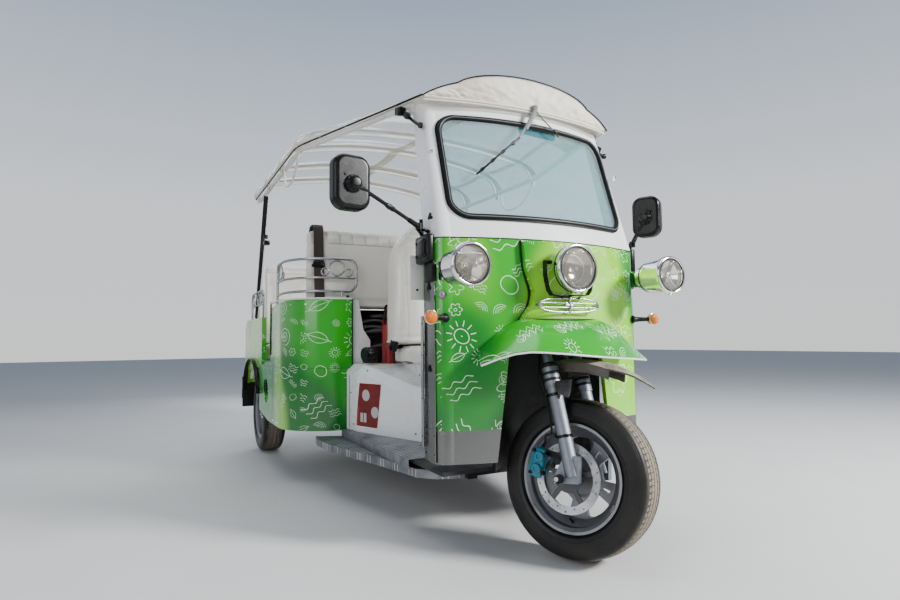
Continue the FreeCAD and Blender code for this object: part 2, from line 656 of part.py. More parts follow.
def mirrors():
    """Rounded heads, glass to the rear, on stays clamped at the cab's rear corners."""
    shapes = []
    for side, x, y, z, w, h, turn in MIRRORS:
        head = box(-w, w, -MIRROR_DEEP, MIRROR_DEEP, -h, h)
        head = head.makeFillet(MIRROR_R,
                               [e for e in head.Edges if abs(e.Vertexes[0].Y - e.Vertexes[-1].Y) > 1])
        head = head.makeFillet(MIRROR_DEEP * 0.8,
                               [e for e in head.Edges if all(v.Y < 1 - MIRROR_DEEP for v in e.Vertexes)])
        boss = rod((0, -MIRROR_DEEP + 2, -8), (0, -MIRROR_DEEP - 14, -8), 20)
        head = head.fuse(boss)
        head.rotate(V(0, 0, 0), V(0, 0, 1), turn)
        head.translate(V(x, y, z))
        foot = (side * (CAB_HALF - 8), CAB_BACK_Y - 50, WAIST_Z + 26)
        elbow = (side * (CAB_HALF + 46), CAB_BACK_Y - 60, WAIST_Z + 44)
        turned = radians(turn)
        end = (x + sin(turned) * (MIRROR_DEEP + 6), y - cos(turned) * (MIRROR_DEEP + 6), z - 8)
        arm = fuse([rod(foot, elbow, MIRROR_ARM_R), Part.makeSphere(MIRROR_ARM_R, V(*elbow)),
                    rod(elbow, end, MIRROR_ARM_R)])
        shapes.append(head.fuse(arm).cut(front_shell()))
    return Part.makeCompound(shapes)


def wiper():
    """Motor boss at the header, an arm and a blade that lie on the glass."""
    pivot = V(-20, CAB_BOW_Y + (WIN_TOP_Z + 34 - WAIST_Z) * RAKE_TAN - 6, WIN_TOP_Z + 34)
    boss = Part.makeCylinder(16, 30, pivot + V(0, 4, 0), V(0, -1, 0))
    end = V(-190, pivot.y - 92, WIN_TOP_Z - 250)
    arm = rod(tuple(pivot + V(0, -18, 0)), tuple(end + V(0, -14, 0)), 5)
    return boss.fuse(arm).cut(front_shell()).cut(windshield()).cut(windshield_gasket())


def canopy_section(row, inset=0.0, y=None, side_drop=0.0):
    """Hoop section from a row of the table: two round shoulders and a bowed crown, closed below."""
    y0, half, side_z, crown_z, lean, side, knee = row
    y0 = y0 if y is None else y
    w, c, s = half - inset, crown_z - inset, side_z - side_drop

    def at(fx, fz):
        height = s + (c - s) * fz
        return V(w * fx, y0 + lean * fz, height)
    (sx, sz), (kx, kz) = side, knee
    arcs = [Part.Arc(at(-1, 0), at(-sx, sz), at(-kx, kz)), Part.Arc(at(-kx, kz), at(0, 1), at(kx, kz)),
            Part.Arc(at(kx, kz), at(sx, sz), at(1, 0)), Part.LineSegment(at(1, 0), at(-1, 0))]
    return Part.Wire([a.toShape() for a in arcs])


# y, half width, side z, crown z, how far the crown leans back, then where the side arc passes and where it
# meets the crown, both as shares of the half width and of the rise
CANOPY_SECTIONS = (
    (FRONT_HOOP_Y, HEADER_HALF + 12, FRONT_HOOP_Z, FRONT_CROWN_Z, FRONT_CROWN_Y - FRONT_HOOP_Y, (0.9, 0.22),
     (0.7, 0.51)),
    (KINK_Y, ROOF_HALF + 8, KINK_Z, ROOF_CROWN_Z - 65, 0.0, (0.97, 0.4), (0.86, 0.62)),
    (HOOP_Y[0], ROOF_HALF + 8, KINK_Z + 7, ROOF_CROWN_Z - 10, 0.0, (0.97, 0.4), (0.86, 0.62)),
    (ROOF_END_Y, ROOF_HALF + 8, ROOF_END_Z, ROOF_CROWN_Z, 0.0, (0.97, 0.4), (0.86, 0.62)))


def roof_row(y):
    """The table's row at any distance back, between the kink and the rear end."""
    for low, high in zip(CANOPY_SECTIONS[1:], CANOPY_SECTIONS[2:]):
        if y <= high[0]:
            t = (y - low[0]) / (high[0] - low[0])
            return (y,) + tuple(a + (b - a) * t for a, b in zip(low[1:5], high[1:5])) + high[5:]
    return CANOPY_SECTIONS[-1]


def canopy_solid(inset, drop=0.0):
    ends = {0: -drop, len(CANOPY_SECTIONS) - 1: drop}
    rows = [canopy_section(row, inset, row[0] + ends.get(k, 0.0), drop)
            for k, row in enumerate(CANOPY_SECTIONS)]
    return Part.makeLoft(rows, True, True)


def canopy():
    """Cloth and clear-sheet roof over the hoops, with the valance that hangs at the front."""
    shell = canopy_solid(0.0).cut(canopy_solid(CANOPY_T, 3.0))
    row = CANOPY_SECTIONS[0]
    valance = Part.makeLoft([canopy_section(row, CANOPY_T - 2),
                             canopy_section(row, CANOPY_T - 2, row[0] + CANOPY_T)],
                            True, True)
    return shell.fuse(valance).removeSplitter()


def roof_frame():
    """Side rails that kink outwards, rear posts, and the cross hoops that carry the cloth."""
    shapes = []
    r = RAIL_R
    for side in (-1, 1):
        x0, x1 = side * (HEADER_HALF + 13), side * (ROOF_HALF - 22)
        rail = bent_tube([(x0, FRONT_HOOP_Y + 100, FRONT_HOOP_Z - 2), (x1, KINK_Y, KINK_Z - 2),
                          (x1, ROOF_END_Y - 10, ROOF_END_Z - 4)], 120, r)
        lug = box(-16, 16, FRONT_HOOP_Y + 90, FRONT_HOOP_Y + 122, HEADER_Z - 30, FRONT_HOOP_Z)
        lug.translate(V(side * (HEADER_HALF + 4), 0, 0))
        shapes.append(lug)
        post = rod((x1, ROOF_END_Y - 270, ROOF_END_Z - 16), (x1, ENTRY_Y1 + 360, QUARTER_Z1 + 4), r)
        shapes.append(rail.fuse(post))
    for y in (KINK_Y + 20,) + HOOP_Y + (ROOF_END_Y - 24,):
        outer = canopy_section(roof_row(y), CANOPY_T + HOOP_R + HOOP_GAP, y)
        path = Part.Wire(outer.Edges[:3])
        start = path.Edges[0].Vertexes[0].Point
        ring = Part.Wire(Part.makeCircle(HOOP_R, start, V(0.1, 0, 1)))
        shapes.append(path.makePipeShell([ring], True, False))
    return fuse(shapes).cut(front_shell()).cut(Part.makeCompound(both(quarter_block())))


def body_path(inset):
    """Plan line of one side of the passenger body, from beside the driver round to the entry."""
    w = BODY_HALF - inset
    corner = V(-w, CORNER_Y + inset * 0.6, 0)
    first = V(-CORNER_X, CORNER_Y + inset, 0)
    turn = V(-w, CORNER_Y + inset + 18, 0)
    start = turn + (first - turn).normalize() * (CORNER_BEND - inset)
    end = turn + V(0, CORNER_BEND - inset, 0)
    mid = turn + V(0.293 * (CORNER_BEND - inset), 0.285 * (CORNER_BEND - inset), 0)
    return first, start, mid, end


def side_panels():
    """Rounded front corner and side of the passenger body, left and right, with the low sill."""
    outer, inner = body_path(0.0), body_path(BODY_T)
    edges = [Part.LineSegment(outer[0], outer[1]), Part.Arc(outer[1], outer[2], outer[3]),
             Part.LineSegment(outer[3], V(-BODY_HALF, ARCH_FRONT_Y, 0)),
             Part.LineSegment(V(-BODY_HALF, ARCH_FRONT_Y, 0), V(-BODY_HALF + BODY_T, ARCH_FRONT_Y, 0)),
             Part.LineSegment(V(-BODY_HALF + BODY_T, ARCH_FRONT_Y, 0), inner[3]),
             Part.Arc(inner[3], inner[2], inner[1]), Part.LineSegment(inner[1], inner[0]),
             Part.LineSegment(inner[0], outer[0])]
    face = Part.Face(Part.Wire([e.toShape() for e in edges]))
    face.translate(V(0, 0, BODY_Z0))
    wall = face.extrude(V(0, 0, SIDE_TOP_FRONT - BODY_Z0))
    far = -BODY_HALF - 50
    doorway = prism([(far, ENTRY_Y0, SILL_Z), (far, ARCH_FRONT_Y + 10, QUARTER_Z0 - 2),
                     (far, ARCH_FRONT_Y + 10, 1200), (far, ENTRY_Y0, 1200)], (400, 0, 0))
    slope = prism([(far, 1560, SIDE_TOP_FRONT), (far, ENTRY_Y0 + 1, SIDE_TOP_REAR), (far, ENTRY_Y0 + 1, 1200),
                   (far, 1560, 1200)], (400, 0, 0))
    toe = prism([(far, 2090, BODY_Z0 - 1), (far, ARCH_FRONT_Y + 1, BODY_Z0 - 1),
                 (far, ARCH_FRONT_Y + 1, 332)],
                (400, 0, 0))
    vent = Part.makeCylinder(70, 200, V(far, 2160, 465), V(1, 0, 0))
    right = wall.cut(doorway).cut(slope).cut(toe).cut(vent)
    return Part.makeCompound(both(right))


def quarter_block():
    far = -BODY_HALF
    outline = [(far, ENTRY_Y1, QUARTER_Z0), (far, REAR_Y - 60, QUARTER_Z0 - 60),
               (far, REAR_Y - 30, QUARTER_Z0 - 160),
               (far, REAR_Y, QUARTER_Z0 - 160), (far, REAR_Y, QUARTER_Z1 - 60),
               (far, REAR_Y - 60, QUARTER_Z1),
               (far, ENTRY_Y1, QUARTER_Z1)]
    return prism(outline, (BODY_T, 0, 0))


def quarter_panels():
    """Rear side panels above the rear wheels."""
    return Part.makeCompound(both(quarter_block())).cut(side_panels())


def tail_panel():
    w = BODY_HALF - BODY_T
    panel = box(-w, w, REAR_Y - BODY_T, REAR_Y, TAIL_Z0, QUARTER_Z1 - 40)
    for x in (-PLATE_PITCH / 2, PLATE_PITCH / 2):
        panel = panel.cut(rod((x, REAR_Y - BODY_T - 1, PLATE_Z), (x, REAR_Y + 1, PLATE_Z), PLATE_HOLE_R))
    return panel


def floor_pan():
    """One floor from the cab back to the rear bench, notched for the wheel housing."""
    w, c = BODY_HALF - BODY_T - 1, CAB_HALF - SHELL_T - 1
    right = [(0, 200), (-c, 200), (-c, CORNER_Y - 40), (-CORNER_X + 10, CORNER_Y + 32),
             (-w, CORNER_Y + CORNER_BEND + 40), (-w, ARCH_FRONT_Y - 1), (0, ARCH_FRONT_Y - 1)]
    half = plate(right, FLOOR_Z, FLOOR_Z + FLOOR_T)
    whole = half.fuse(mirrored(half)).removeSplitter()
    notch = Part.makeCylinder(ARCH_R + ARCH_T + CLEAR, 100, V(0, ARCH_Y, FLOOR_Z - 20))
    return whole.cut(notch).cut(chassis_frame()).cut(side_panels())


def chassis_frame():
    """Two main rails, cross members, head tube and its stays."""
    z0, z1 = FLOOR_Z - RAIL_H, FLOOR_Z
    kick_y = ARCH_FRONT_Y - 20
    pieces = []
    for side in (-1, 1):
        x = side * RAIL_X
        pieces.append(box(x - RAIL_W / 2, x + RAIL_W / 2, RAIL_Y0, kick_y - 99, z0, z1))
        side_view = ((kick_y - 100, z0), (kick_y + 40, z0), (kick_y + 40 + KICK_UP_RUN, KICK_UP_Z),
                     (REAR_Y - 60, KICK_UP_Z), (REAR_Y - 60, KICK_UP_Z + RAIL_H),
                     (kick_y + KICK_UP_RUN, KICK_UP_Z + RAIL_H),
                     (kick_y, z1), (kick_y - 100, z1))
        pieces.append(prism([(x - RAIL_W / 2, y, z) for y, z in side_view], (RAIL_W, 0, 0)))
        pieces.append(bent_tube([(x, RAIL_Y0 + 18, z0 + 30), (x, RAIL_Y0 + 18, 560),
                                 (side * (HEAD_R - 8), axis_point(880)[1] + 20, 880)], 60, 16))
    for y in (RAIL_Y0 + 20, PLINTH_FRONT_Y + 80, CORNER_Y + 50, ENTRY_Y0 + 95):
        pieces.append(box(-RAIL_X, RAIL_X, y - 20, y + 20, z0 + 10, z1 - 1))
    pieces.append(box(-RAIL_X, RAIL_X, REAR_Y - 100, REAR_Y - 60, KICK_UP_Z + 2, KICK_UP_Z + RAIL_H - 2))
    pieces.append(rod(*axis_span(HEAD_Z0, HEAD_Z1), HEAD_R))
    bore = rod(*axis_span(HEAD_Z0 - 40, HEAD_Z1 + 60), STEM_R + 0.05)
    tow = box(-30, 30, REAR_Y - 62, REAR_Y + 40, 418, 430)
    eye = Part.makeCylinder(12, 60, V(0, REAR_Y + 18, 400))
    return fuse(pieces).cut(bore).fuse(tow).removeSplitter().cut(eye)


def step_plates():
    """Chequer-plate steps beside the cab, with a folded outer lip."""
    rail_x = -RAIL_X - RAIL_W / 2 - CLEAR
    outline = list(STEP_EDGE) + [(rail_x - 6, PLINTH_REAR_Y), (rail_x - 6, STEP_EDGE[0][1])]
    top = plate(outline, STEP_Z - STEP_T, STEP_Z)
    skirt = plate(outline, STEP_Z - STEP_T - STEP_LIP, STEP_Z - STEP_T)
    core = skirt.translated(V(STEP_T, STEP_T, 0))
    x0 = STEP_EDGE[3][0] + 12
    arms = [box(x0, rail_x, y, y + 40, STEP_Z - 26, STEP_Z - STEP_T + 1)
            for y in (PLINTH_FRONT_Y - 300, PLINTH_REAR_Y - 220)]
    return Part.makeCompound(both(fuse([top, skirt.cut(core)] + arms)))


def seat_plinth():
    """White moulding that rises from the cab floor and carries the driver's seat."""
    z0 = FLOOR_Z + FLOOR_T
    rows = ((PLINTH_FRONT_Y, 262, PLINTH_Z0), (PLINTH_REAR_Y - 150, 425, PLINTH_Z1),
            (PLINTH_REAR_Y, 438, PLINTH_Z1))

    def ring(y, half, top, inset=0.0):
        w, t = half - inset, top - inset
        foot = z0 - (1 if inset else 0)
        return polygon([(-w, y, foot), (w, y, foot), (w, y, t - 40), (w - 40, y, t), (-w + 40, y, t),
                        (-w, y, t - 40)])
    outer = Part.makeLoft([ring(*row) for row in rows], True, True)
    ends = (SHEET_T, 0, -SHEET_T)
    inside = [ring(y + e, half, top, SHEET_T) for (y, half, top), e in zip(rows, ends)]
    inner = Part.makeLoft(inside, True, True)
    pedestal = box(-170, 170, PLINTH_FRONT_Y + 180, PLINTH_REAR_Y - 155, PLINTH_Z0 + 30, PLINTH_Z1 + 3)
    return outer.cut(inner).fuse(pedestal.cut(outer)).removeSplitter()


def driver_seat():
    """Cushion and an upright back that narrows to a rounded top, on the plinth's pedestal."""
    seat_z = PLINTH_Z1 + 3.3
    cushion = box(-230, 230, 900, 1320, seat_z, seat_z + 87)
    cushion = cushion.makeFillet(28, [e for e in cushion.Edges if all(v.Z > seat_z + 60 for v in e.Vertexes)])
    z0 = seat_z + 87 + DRIVER_BACK_T * sin(radians(5))
    # half width and height up one side of the back, the last three on the rounded top
    (w0, _), (w1, z1), (w2, z2), (w3, z3), (_, z4) = DRIVER_BACK
    edges = [Part.LineSegment(V(-w0, 0, z0), V(w0, 0, z0)), Part.LineSegment(V(w0, 0, z0), V(w1, 0, z1)),
             Part.Arc(V(w1, 0, z1), V(w2, 0, z2), V(w3, 0, z3)),
             Part.Arc(V(w3, 0, z3), V(0, 0, z4), V(-w3, 0, z3)),
             Part.Arc(V(-w3, 0, z3), V(-w2, 0, z2), V(-w1, 0, z1)),
             Part.LineSegment(V(-w1, 0, z1), V(-w0, 0, z0))]
    back = Part.Face(Part.Wire([e.toShape() for e in edges])).extrude(V(0, DRIVER_BACK_T, 0))
    back.rotate(V(0, 0, z0), V(1, 0, 0), -5)
    back.translate(V(0, 1170, 0))
    return cushion, back


def bench(y_back, faces, z_seat, z_low, z_top):
    """Cushion and back with two round top corners; faces is 1 when the sitter looks to the rear."""
    w, d = BENCH_HALF - 10, BENCH_DEPTH
    cut = CORNER_BEND - BODY_T

    def at(y):
        return y_back + faces * y
    cushion = plate([(-w + 40, at(BACK_T)), (-w, at(BACK_T + 60)), (-w, at(d)), (w, at(d)),
                     (w, at(BACK_T + 60)),
                     (w - 40, at(BACK_T))], z_seat - CUSHION_T, z_seat)
    back = plate([(-w + cut * 0.8, at(0)), (-w + 60, at(BACK_T * 0.5)), (-w + 24, at(BACK_T)),
                  (w - 24, at(BACK_T)),
                  (w - 60, at(BACK_T * 0.5)), (w - cut * 0.8, at(0))], z_low, z_top)
    r = BACK_CORNER_R
    for side in (-1, 1):
        x = side * (w - 24)
        corner = box(min(x, x - side * r), max(x, x - side * r), y_back - BACK_T, y_back + BACK_T, z_top - r,
                     z_top)
        corner = corner.cut(rod((x - side * r, y_back - 2 * BACK_T, z_top - r),
                                (x - side * r, y_back + 2 * BACK_T, z_top - r), r))
        back = back.cut(corner)
    return [cushion, back]


def bench_bases():
    """Hollow boxes under the two benches, and the two white fins beside the driver's back."""
    z0 = FLOOR_Z + FLOOR_T
    z1 = BENCH_SEAT_Z - CUSHION_T - CLEAR
    t = SHEET_T
    wide = BODY_HALF - BODY_T - CLEAR
    front_w, y0, y1 = wide - 244, CORNER_Y + 38, BENCH_FRONT_Y + BENCH_DEPTH - 17
    hollow = box(-front_w + t, front_w - t, y0 + t, y1 - t, z0 - 1, z1 - t)
    front = box(-front_w, front_w, y0, y1, z0, z1).cut(hollow)
    top, foot = SIDE_TOP_FRONT - 7, PLINTH_Z1 + 1
    x0 = -CORNER_X + CLEAR
    fin = prism([(x0, y0 - 26, foot), (x0, y0 - 26, top), (x0 + 40, y0 - 26, top),
                 (x0 + 70, y0 - 26, top - 168),
                 (x0 + 110, y0 - 26, top - 226), (x0 + 110, y0 - 26, foot)], (0, t, 0))
    ear = box(x0, x0 + 60, y0 - 27 + t, y0 + 1, z1 - 60, z1)
    leg = box(x0, x0 + 60, y0 - 26, y0 - 26 + t, z1 - 60, foot + 1)
    rear = box(-wide, wide, ARCH_FRONT_Y + 2, REAR_Y - BODY_T - CLEAR, KICK_UP_Z + 100, z1 + 60).cut(
        box(-wide + t, wide - t, ARCH_FRONT_Y + 2 + t, REAR_Y - BODY_T - t, KICK_UP_Z + 99, z1 + 60 - t))
    wells = []
    for side in (-1, 1):
        wells.append(Part.makeCylinder(TYRE_D / 2 + 60, 400,
                                       V(side * (TRACK / 2 + 9) - 200, WHEELBASE + HUB_Y, TYRE_D / 2),
                                       V(1, 0, 0)))
    return Part.makeCompound([fuse([front] + both(fin) + both(ear) + both(leg)),
                              rear.cut(Part.makeCompound(wells))])


def service_shelf():
    """Black steel box that carries the front bench's back, open to the driver, with its units inside."""
    t, w = 3.0, CORNER_X - 14
    y0, y1 = CORNER_Y + 24, BENCH_FRONT_Y + BACK_T - 2
    z0, z1 = BENCH_SEAT_Z - CUSHION_T, BENCH_BACK_Z0 - CLEAR
    pieces = [box(-w, w, y0, y1, z0, z1).cut(box(-w + t, w - t, y0 - 1, y1 - t, z0 + t, z1 - t))]
    # x from, x to, y from, z from, z to of the boxes inside
    for xa, xb, ya, za, zb in ((-330, -210, y0 + 20, z0 + 1, z0 + 235),
                               (-195, -110, y0 + 34, z0 + 1, z0 + 180),
                               (60, 230, y0 + 20, z0 + 1, z0 + 210), (250, 340, y0 + 40, z0 + 1, z0 + 150)):
        pieces.append(box(xa, xb, ya, y1 - 1, za, zb))
    for z in (z1 - 40, z1 - 70):
        pieces.append(rod((-w + 1, y0 + 50, z), (w - 1, y0 + 50, z), 9))
    return fuse(pieces)


def dashboard():
    """Shelf behind the windscreen's foot, with its front wall."""
    inside = Part.Face(cab_outline(0, CAB_HALF, CAB_BOW_Y, CAB_CORNER_Y, CAB_BACK_Y, SHELL_T))
    inside = inside.extrude(V(0, 0, WAIST_Z))
    shelf = box(-CAB_HALF, CAB_HALF, CAB_BOW_Y - 35, CAB_BACK_Y, DASH_Z - 20, DASH_Z)
    wall = box(-CAB_HALF, CAB_HALF, CAB_BACK_Y - 14, CAB_BACK_Y, DASH_Z - 125, DASH_Z - 19)
    shape = shelf.fuse(wall).removeSplitter().common(inside)
    return shape.cut(rod(*axis_span(HEAD_Z0, BAR_Z + 90), 60)).cut(chassis_frame())


def rings(places, middle, axis):
    """Rings between the two upper bars, each with its place and radius; small ones stand on the lower bar."""
    shapes = []
    for place, r in places:
        z = middle if r == RING_R else RAIL_BARS[1] + GUARD_TUBE_R + r + 2
        shapes.append(Part.makeTorus(r, 4.5, V(*place, z), V(*axis)))
    return shapes


def guard_rails():
    """Guard rails of bent tube round the body's front corners and on the rear sides, filled with rings."""
    r, low, mid, high = GUARD_TUBE_R, RAIL_BARS[0], RAIL_BARS[1], RAIL_BARS[2]
    first, start, _, end = body_path(BODY_T / 2)
    x, y_end = -BODY_HALF + BODY_T / 2, GUARD_END_Y
    corner = V(x, CORNER_Y + BODY_T / 2 + 18, 0)
    bend = CORNER_BEND - BODY_T / 2
    front = V(-GUARD_END_X, first.y, 0)
    turn_r = bend * tan((start - corner).getAngle(end - corner) / 2)
    path = [(x, y_end, SIDE_TOP_REAR - 10), (x, y_end, high), (corner.x, corner.y, high),
            (front.x, front.y, high),
            (front.x, front.y, low), (corner.x, corner.y, low), (x, y_end - 1, low)]
    pieces = [bent_tube(path, [GUARD_BEND, turn_r, GUARD_BEND, GUARD_BEND, turn_r], r),
              bent_tube([(front.x, front.y, mid), (corner.x, corner.y, mid), (x, y_end - 1, mid)], turn_r,
                        r - 1),
              rod((first.x - 55, first.y + 2, SIDE_TOP_FRONT - 10), (first.x - 55, first.y + 2, low), 5)]
    middle = (mid + high) / 2
    across = ((front.x - 112, RING_R), (front.x - 112 + RING_R + SMALL_RING_R + 6, SMALL_RING_R),
              (front.x - 112 - RING_R - SMALL_RING_R - 6, SMALL_RING_R))
    pieces += rings([((px, front.y + 3), size) for px, size in across], middle, (0, 1, 0))
    row = ((1782.0, RING_R), (1714.0, SMALL_RING_R), (1850.0, SMALL_RING_R))
    pieces += rings([((x, py), size) for py, size in row],
                    middle, (1, 0, 0))
    front_rail = fuse(pieces).cut(side_panels())
    y0, y1, top = ENTRY_Y1 + 40, REAR_Y - 240, RAIL_BARS[1]
    loop = bent_tube([(x, y0, QUARTER_Z1 - 20), (x, y0, top), (x, y1, top), (x, y1, QUARTER_Z1 - 20)], 60, r)
    bar = rod((x, y0, 1040), (x, y1, 1040), r - 1)
    pieces = [loop, bar]
    for y in (y0 + 100, y0 + 200, y0 + 420):
        pieces.append(Part.makeTorus((top - 1040) / 2 - 4, 4.5, V(x, y, (top + 1040) / 2), V(1, 0, 0)))
    rear = fuse(pieces).cut(quarter_block()).cut(roof_frame())
    return Part.makeCompound(both(front_rail) + both(rear))


def rail_bottom(y):
    """Underside of a chassis rail where it kicks up over the rear axle."""
    y0 = ARCH_FRONT_Y + 20
    share = min(1.0, max(0.0, (y - y0) / KICK_UP_RUN))
    return FLOOR_Z - RAIL_H + (KICK_UP_Z - FLOOR_Z + RAIL_H) * share


def rear_axle():
    """Beam axle with leaf springs, their shackles, and brake drums inboard of the wheels."""
    y, z = WHEELBASE + HUB_Y, TYRE_D / 2
    beam = rod((-TRACK / 2 + 62, y, z), (TRACK / 2 - 62, y, z), 34)
    spindle = rod((-TRACK / 2 - 40, y, z), (TRACK / 2 + 40, y, z), AXLE_R)
    pieces = [beam, spindle]
    for side in (-1, 1):
        pieces.append(rod((side * (TRACK / 2 - 66), y, z), (side * (TRACK / 2 - 40), y, z), 88))
        x = side * RAIL_X
        for k in range(3):
            span = SPRING_HALF - 70 * k
            pieces.append(box(x - 25, x + 25, y - span, y + span, z + 36 + 8 * k, z + 44 + 8 * k))
        for y0, y1 in ((y - SPRING_HALF, y - SPRING_HALF + 30), (y + SPRING_HALF - 30, y + SPRING_HALF)):
            pieces.append(prism([(x - 20, y0, z + 40), (x - 20, y1, z + 40),
                                 (x - 20, y1, rail_bottom(y1) - CLEAR),
                                 (x - 20, y0, rail_bottom(y0) - CLEAR)], (40, 0, 0)))
        pieces.append(box(x - 30, x + 30, y - 45, y + 45, z, z + 38))
    return fuse(pieces)


def motor():
    """Drive unit as one block, on two ears between the chassis rails."""
    block = box(-MOTOR_HALF, MOTOR_HALF, 2470, 2680, 330, 498)
    ear = box(-RAIL_X + RAIL_W / 2 + CLEAR, -MOTOR_HALF + 1, 2560, 2640, 410, 450)
    return fuse([block] + both(ear))


def extinguisher():
    foot = V(-215, PLINTH_REAR_Y - 78, PLINTH_Z1 + CLEAR)
    bottle = Part.makeCylinder(42, 240, foot)
    neck = Part.makeCylinder(16, 60, foot + V(0, 0, 235))
    return bottle.fuse(neck).removeSplitter()


def tail_lamps():
    shapes = []
    for side in (-1, 1):
        lamp = box(-45, 45, 0, 28, -70, 70)
        lamp = lamp.makeFillet(10, lamp.Edges)
        lamp.translate(V(side * (BODY_HALF - 110), REAR_Y + CLEAR, 780))
        shapes.append(lamp)
    return Part.makeCompound(shapes)


def build():
    nodes = {}
    hub = hub_straight()
    axle_y = WHEELBASE + HUB_Y
    driver_cushion, driver_back = driver_seat()
    front_cushion, front_back = bench(BENCH_FRONT_Y, 1, BENCH_SEAT_Z, BENCH_BACK_Z0, BENCH_BACK_Z1)
    rear_z = BENCH_SEAT_Z + 60
    rear_cushion, rear_back = bench(REAR_Y - 170, -1, rear_z, rear_z + 0.4, BENCH_BACK_Z1 - 40)
    nodes["chassis_frame"] = chassis_frame()
    nodes["floor_pan"] = floor_pan()
    nodes["wheel_arch"] = wheel_arch()
    nodes["step_plates"] = step_plates()
    nodes["seat_plinth"] = seat_plinth()
    nodes["front_panel"] = front_panel()
    nodes["front_shell"] = front_shell()
    nodes["kick_plates"] = kick_plates()
    nodes["windshield"] = windshield()
    nodes["windshield_gasket"] = windshield_gasket()
    nodes["nose_cowl"] = nose_cowl()
    nodes["nose_mudguard"] = nose_mudguard()
    nodes["headlamp"] = headlamp()
    nodes["side_lamps"] = side_lamps()
    nodes["lamp_lenses"] = lamp_lenses()
    nodes["indicators"] = indicators()
    nodes["mirrors"] = mirrors()
    nodes["wiper"] = wiper()
    nodes["canopy"] = canopy()
    nodes["roof_frame"] = roof_frame()
    nodes["side_panels"] = side_panels()
    nodes["quarter_panels"] = quarter_panels()
    nodes["tail_panel"] = tail_panel()
    nodes["guard_rails"] = guard_rails()
    nodes["bench_bases"] = bench_bases()
    nodes["service_shelf"] = service_shelf()
    nodes["bench_front_cushion"] = front_cushion
    nodes["bench_front_back"] = front_back
    nodes["bench_rear_cushion"] = rear_cushion
    nodes["bench_rear_back"] = rear_back
    nodes["driver_cushion"] = driver_cushion
    nodes["driver_back"] = driver_back
    nodes["dashboard"] = dashboard()
    nodes["rear_axle"] = rear_axle()
    nodes["motor"] = motor()
    nodes["extinguisher"] = extinguisher()
    nodes["tail_lamps"] = tail_lamps()
    nodes["fork"] = steered(fork(hub))
    nodes["handlebar"] = steered(handlebar())
    nodes["fork_mudguard"] = steered(fork_mudguard(hub))
    nodes["brake_caliper"] = steered(brake_caliper(hub))
    nodes["front_tyre"] = steered(tyre(tuple(hub)))
    nodes["front_rim"] = steered(rim(tuple(hub), 1))
    nodes["front_disc"] = steered(front_disc(tuple(hub)))
    for name, side in (("right", -1), ("left", 1)):
        place = (side * TRACK / 2, axle_y, TYRE_D / 2)
        nodes["rear_tyre_" + name] = tyre(place)
        nodes["rear_rim_" + name] = rim(place, side)
    return nodes


def export(nodes):
    """Moves the whole vehicle so that its box stands centred on the origin, then writes it."""
    whole = FreeCAD.BoundBox()
    for shape in nodes.values():
        whole.add(shape.optimalBoundingBox(False))
    home = V(-whole.Center.x, -whole.Center.y, -whole.ZMin)
    os.makedirs("parts", exist_ok=True)
    for name, shape in nodes.items():
        placed = shape.copy()
        placed.translate(home)
        placed.exportStep("parts/" + name + ".step")
    print("home", home.x, home.y, home.z)
    print("size", whole.XLength, whole.YLength, whole.ZLength)


export(build())
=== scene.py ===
import json
from math import atan2, copysign, cos, degrees, dist, exp, hypot, pi, radians, sin, sqrt, tau

import bmesh
import bpy
from mathutils import Matrix, Vector, noise


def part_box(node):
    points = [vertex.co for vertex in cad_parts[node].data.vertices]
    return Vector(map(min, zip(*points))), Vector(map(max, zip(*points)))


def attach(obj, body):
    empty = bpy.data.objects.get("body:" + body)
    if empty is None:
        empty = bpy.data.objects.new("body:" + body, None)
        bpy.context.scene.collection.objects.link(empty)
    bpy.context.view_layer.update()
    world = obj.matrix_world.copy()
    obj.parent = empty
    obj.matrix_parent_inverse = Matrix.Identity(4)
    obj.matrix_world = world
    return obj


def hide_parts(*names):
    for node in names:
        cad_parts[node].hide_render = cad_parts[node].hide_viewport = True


def V(x, y, z):
    return Vector((x, y, z))


def turned_by(degree, axis):
    return Matrix.Rotation(radians(degree), 4, axis)


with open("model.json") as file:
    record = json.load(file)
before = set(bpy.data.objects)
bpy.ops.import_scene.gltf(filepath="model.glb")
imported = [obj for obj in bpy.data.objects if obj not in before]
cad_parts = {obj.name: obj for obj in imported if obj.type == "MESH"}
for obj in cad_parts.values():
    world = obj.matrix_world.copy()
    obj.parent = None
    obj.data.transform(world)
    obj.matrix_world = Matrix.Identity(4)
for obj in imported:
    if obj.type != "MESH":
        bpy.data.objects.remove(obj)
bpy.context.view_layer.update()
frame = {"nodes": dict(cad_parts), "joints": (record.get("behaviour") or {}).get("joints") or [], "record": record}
nodes = frame["nodes"]
joints = {j["name"]: j for j in frame["joints"]}
# Places are given in metres from the ground under the parked front hub. Of the rear wheels: how far back their axle
# is, how far out they stand, and their radius.
REAR_AXLE_Y, TRACK_HALF, TYRE_R = 2.737, 0.631, 0.2785
HOME = Vector(joints["rear_wheel_left_spin"]["pos_m"]) - V(TRACK_HALF, REAR_AXLE_Y, TYRE_R)


def at(x, y, z):
    return HOME + V(x, y, z)


class Signal:
    """A shader socket; arithmetic on it adds Math nodes."""

    def __init__(self, finish, socket):
        self.finish, self.socket = finish, socket

    def math(self, operation, *others, first=None):
        values = ([self] if first is None else [first, self]) + list(others)
        return self.finish.node("Math", {"operation": operation}, dict(enumerate(values)))

    def __rsub__(self, other):
        return self.math("SUBTRACT", first=other)

    def ease(self, low, high):
        """0 below low, 1 above high, smooth between."""
        return self.finish.node("MapRange", {"interpolation_type": "SMOOTHSTEP"},
                                {"Value": self, "From Min": low, "From Max": high})


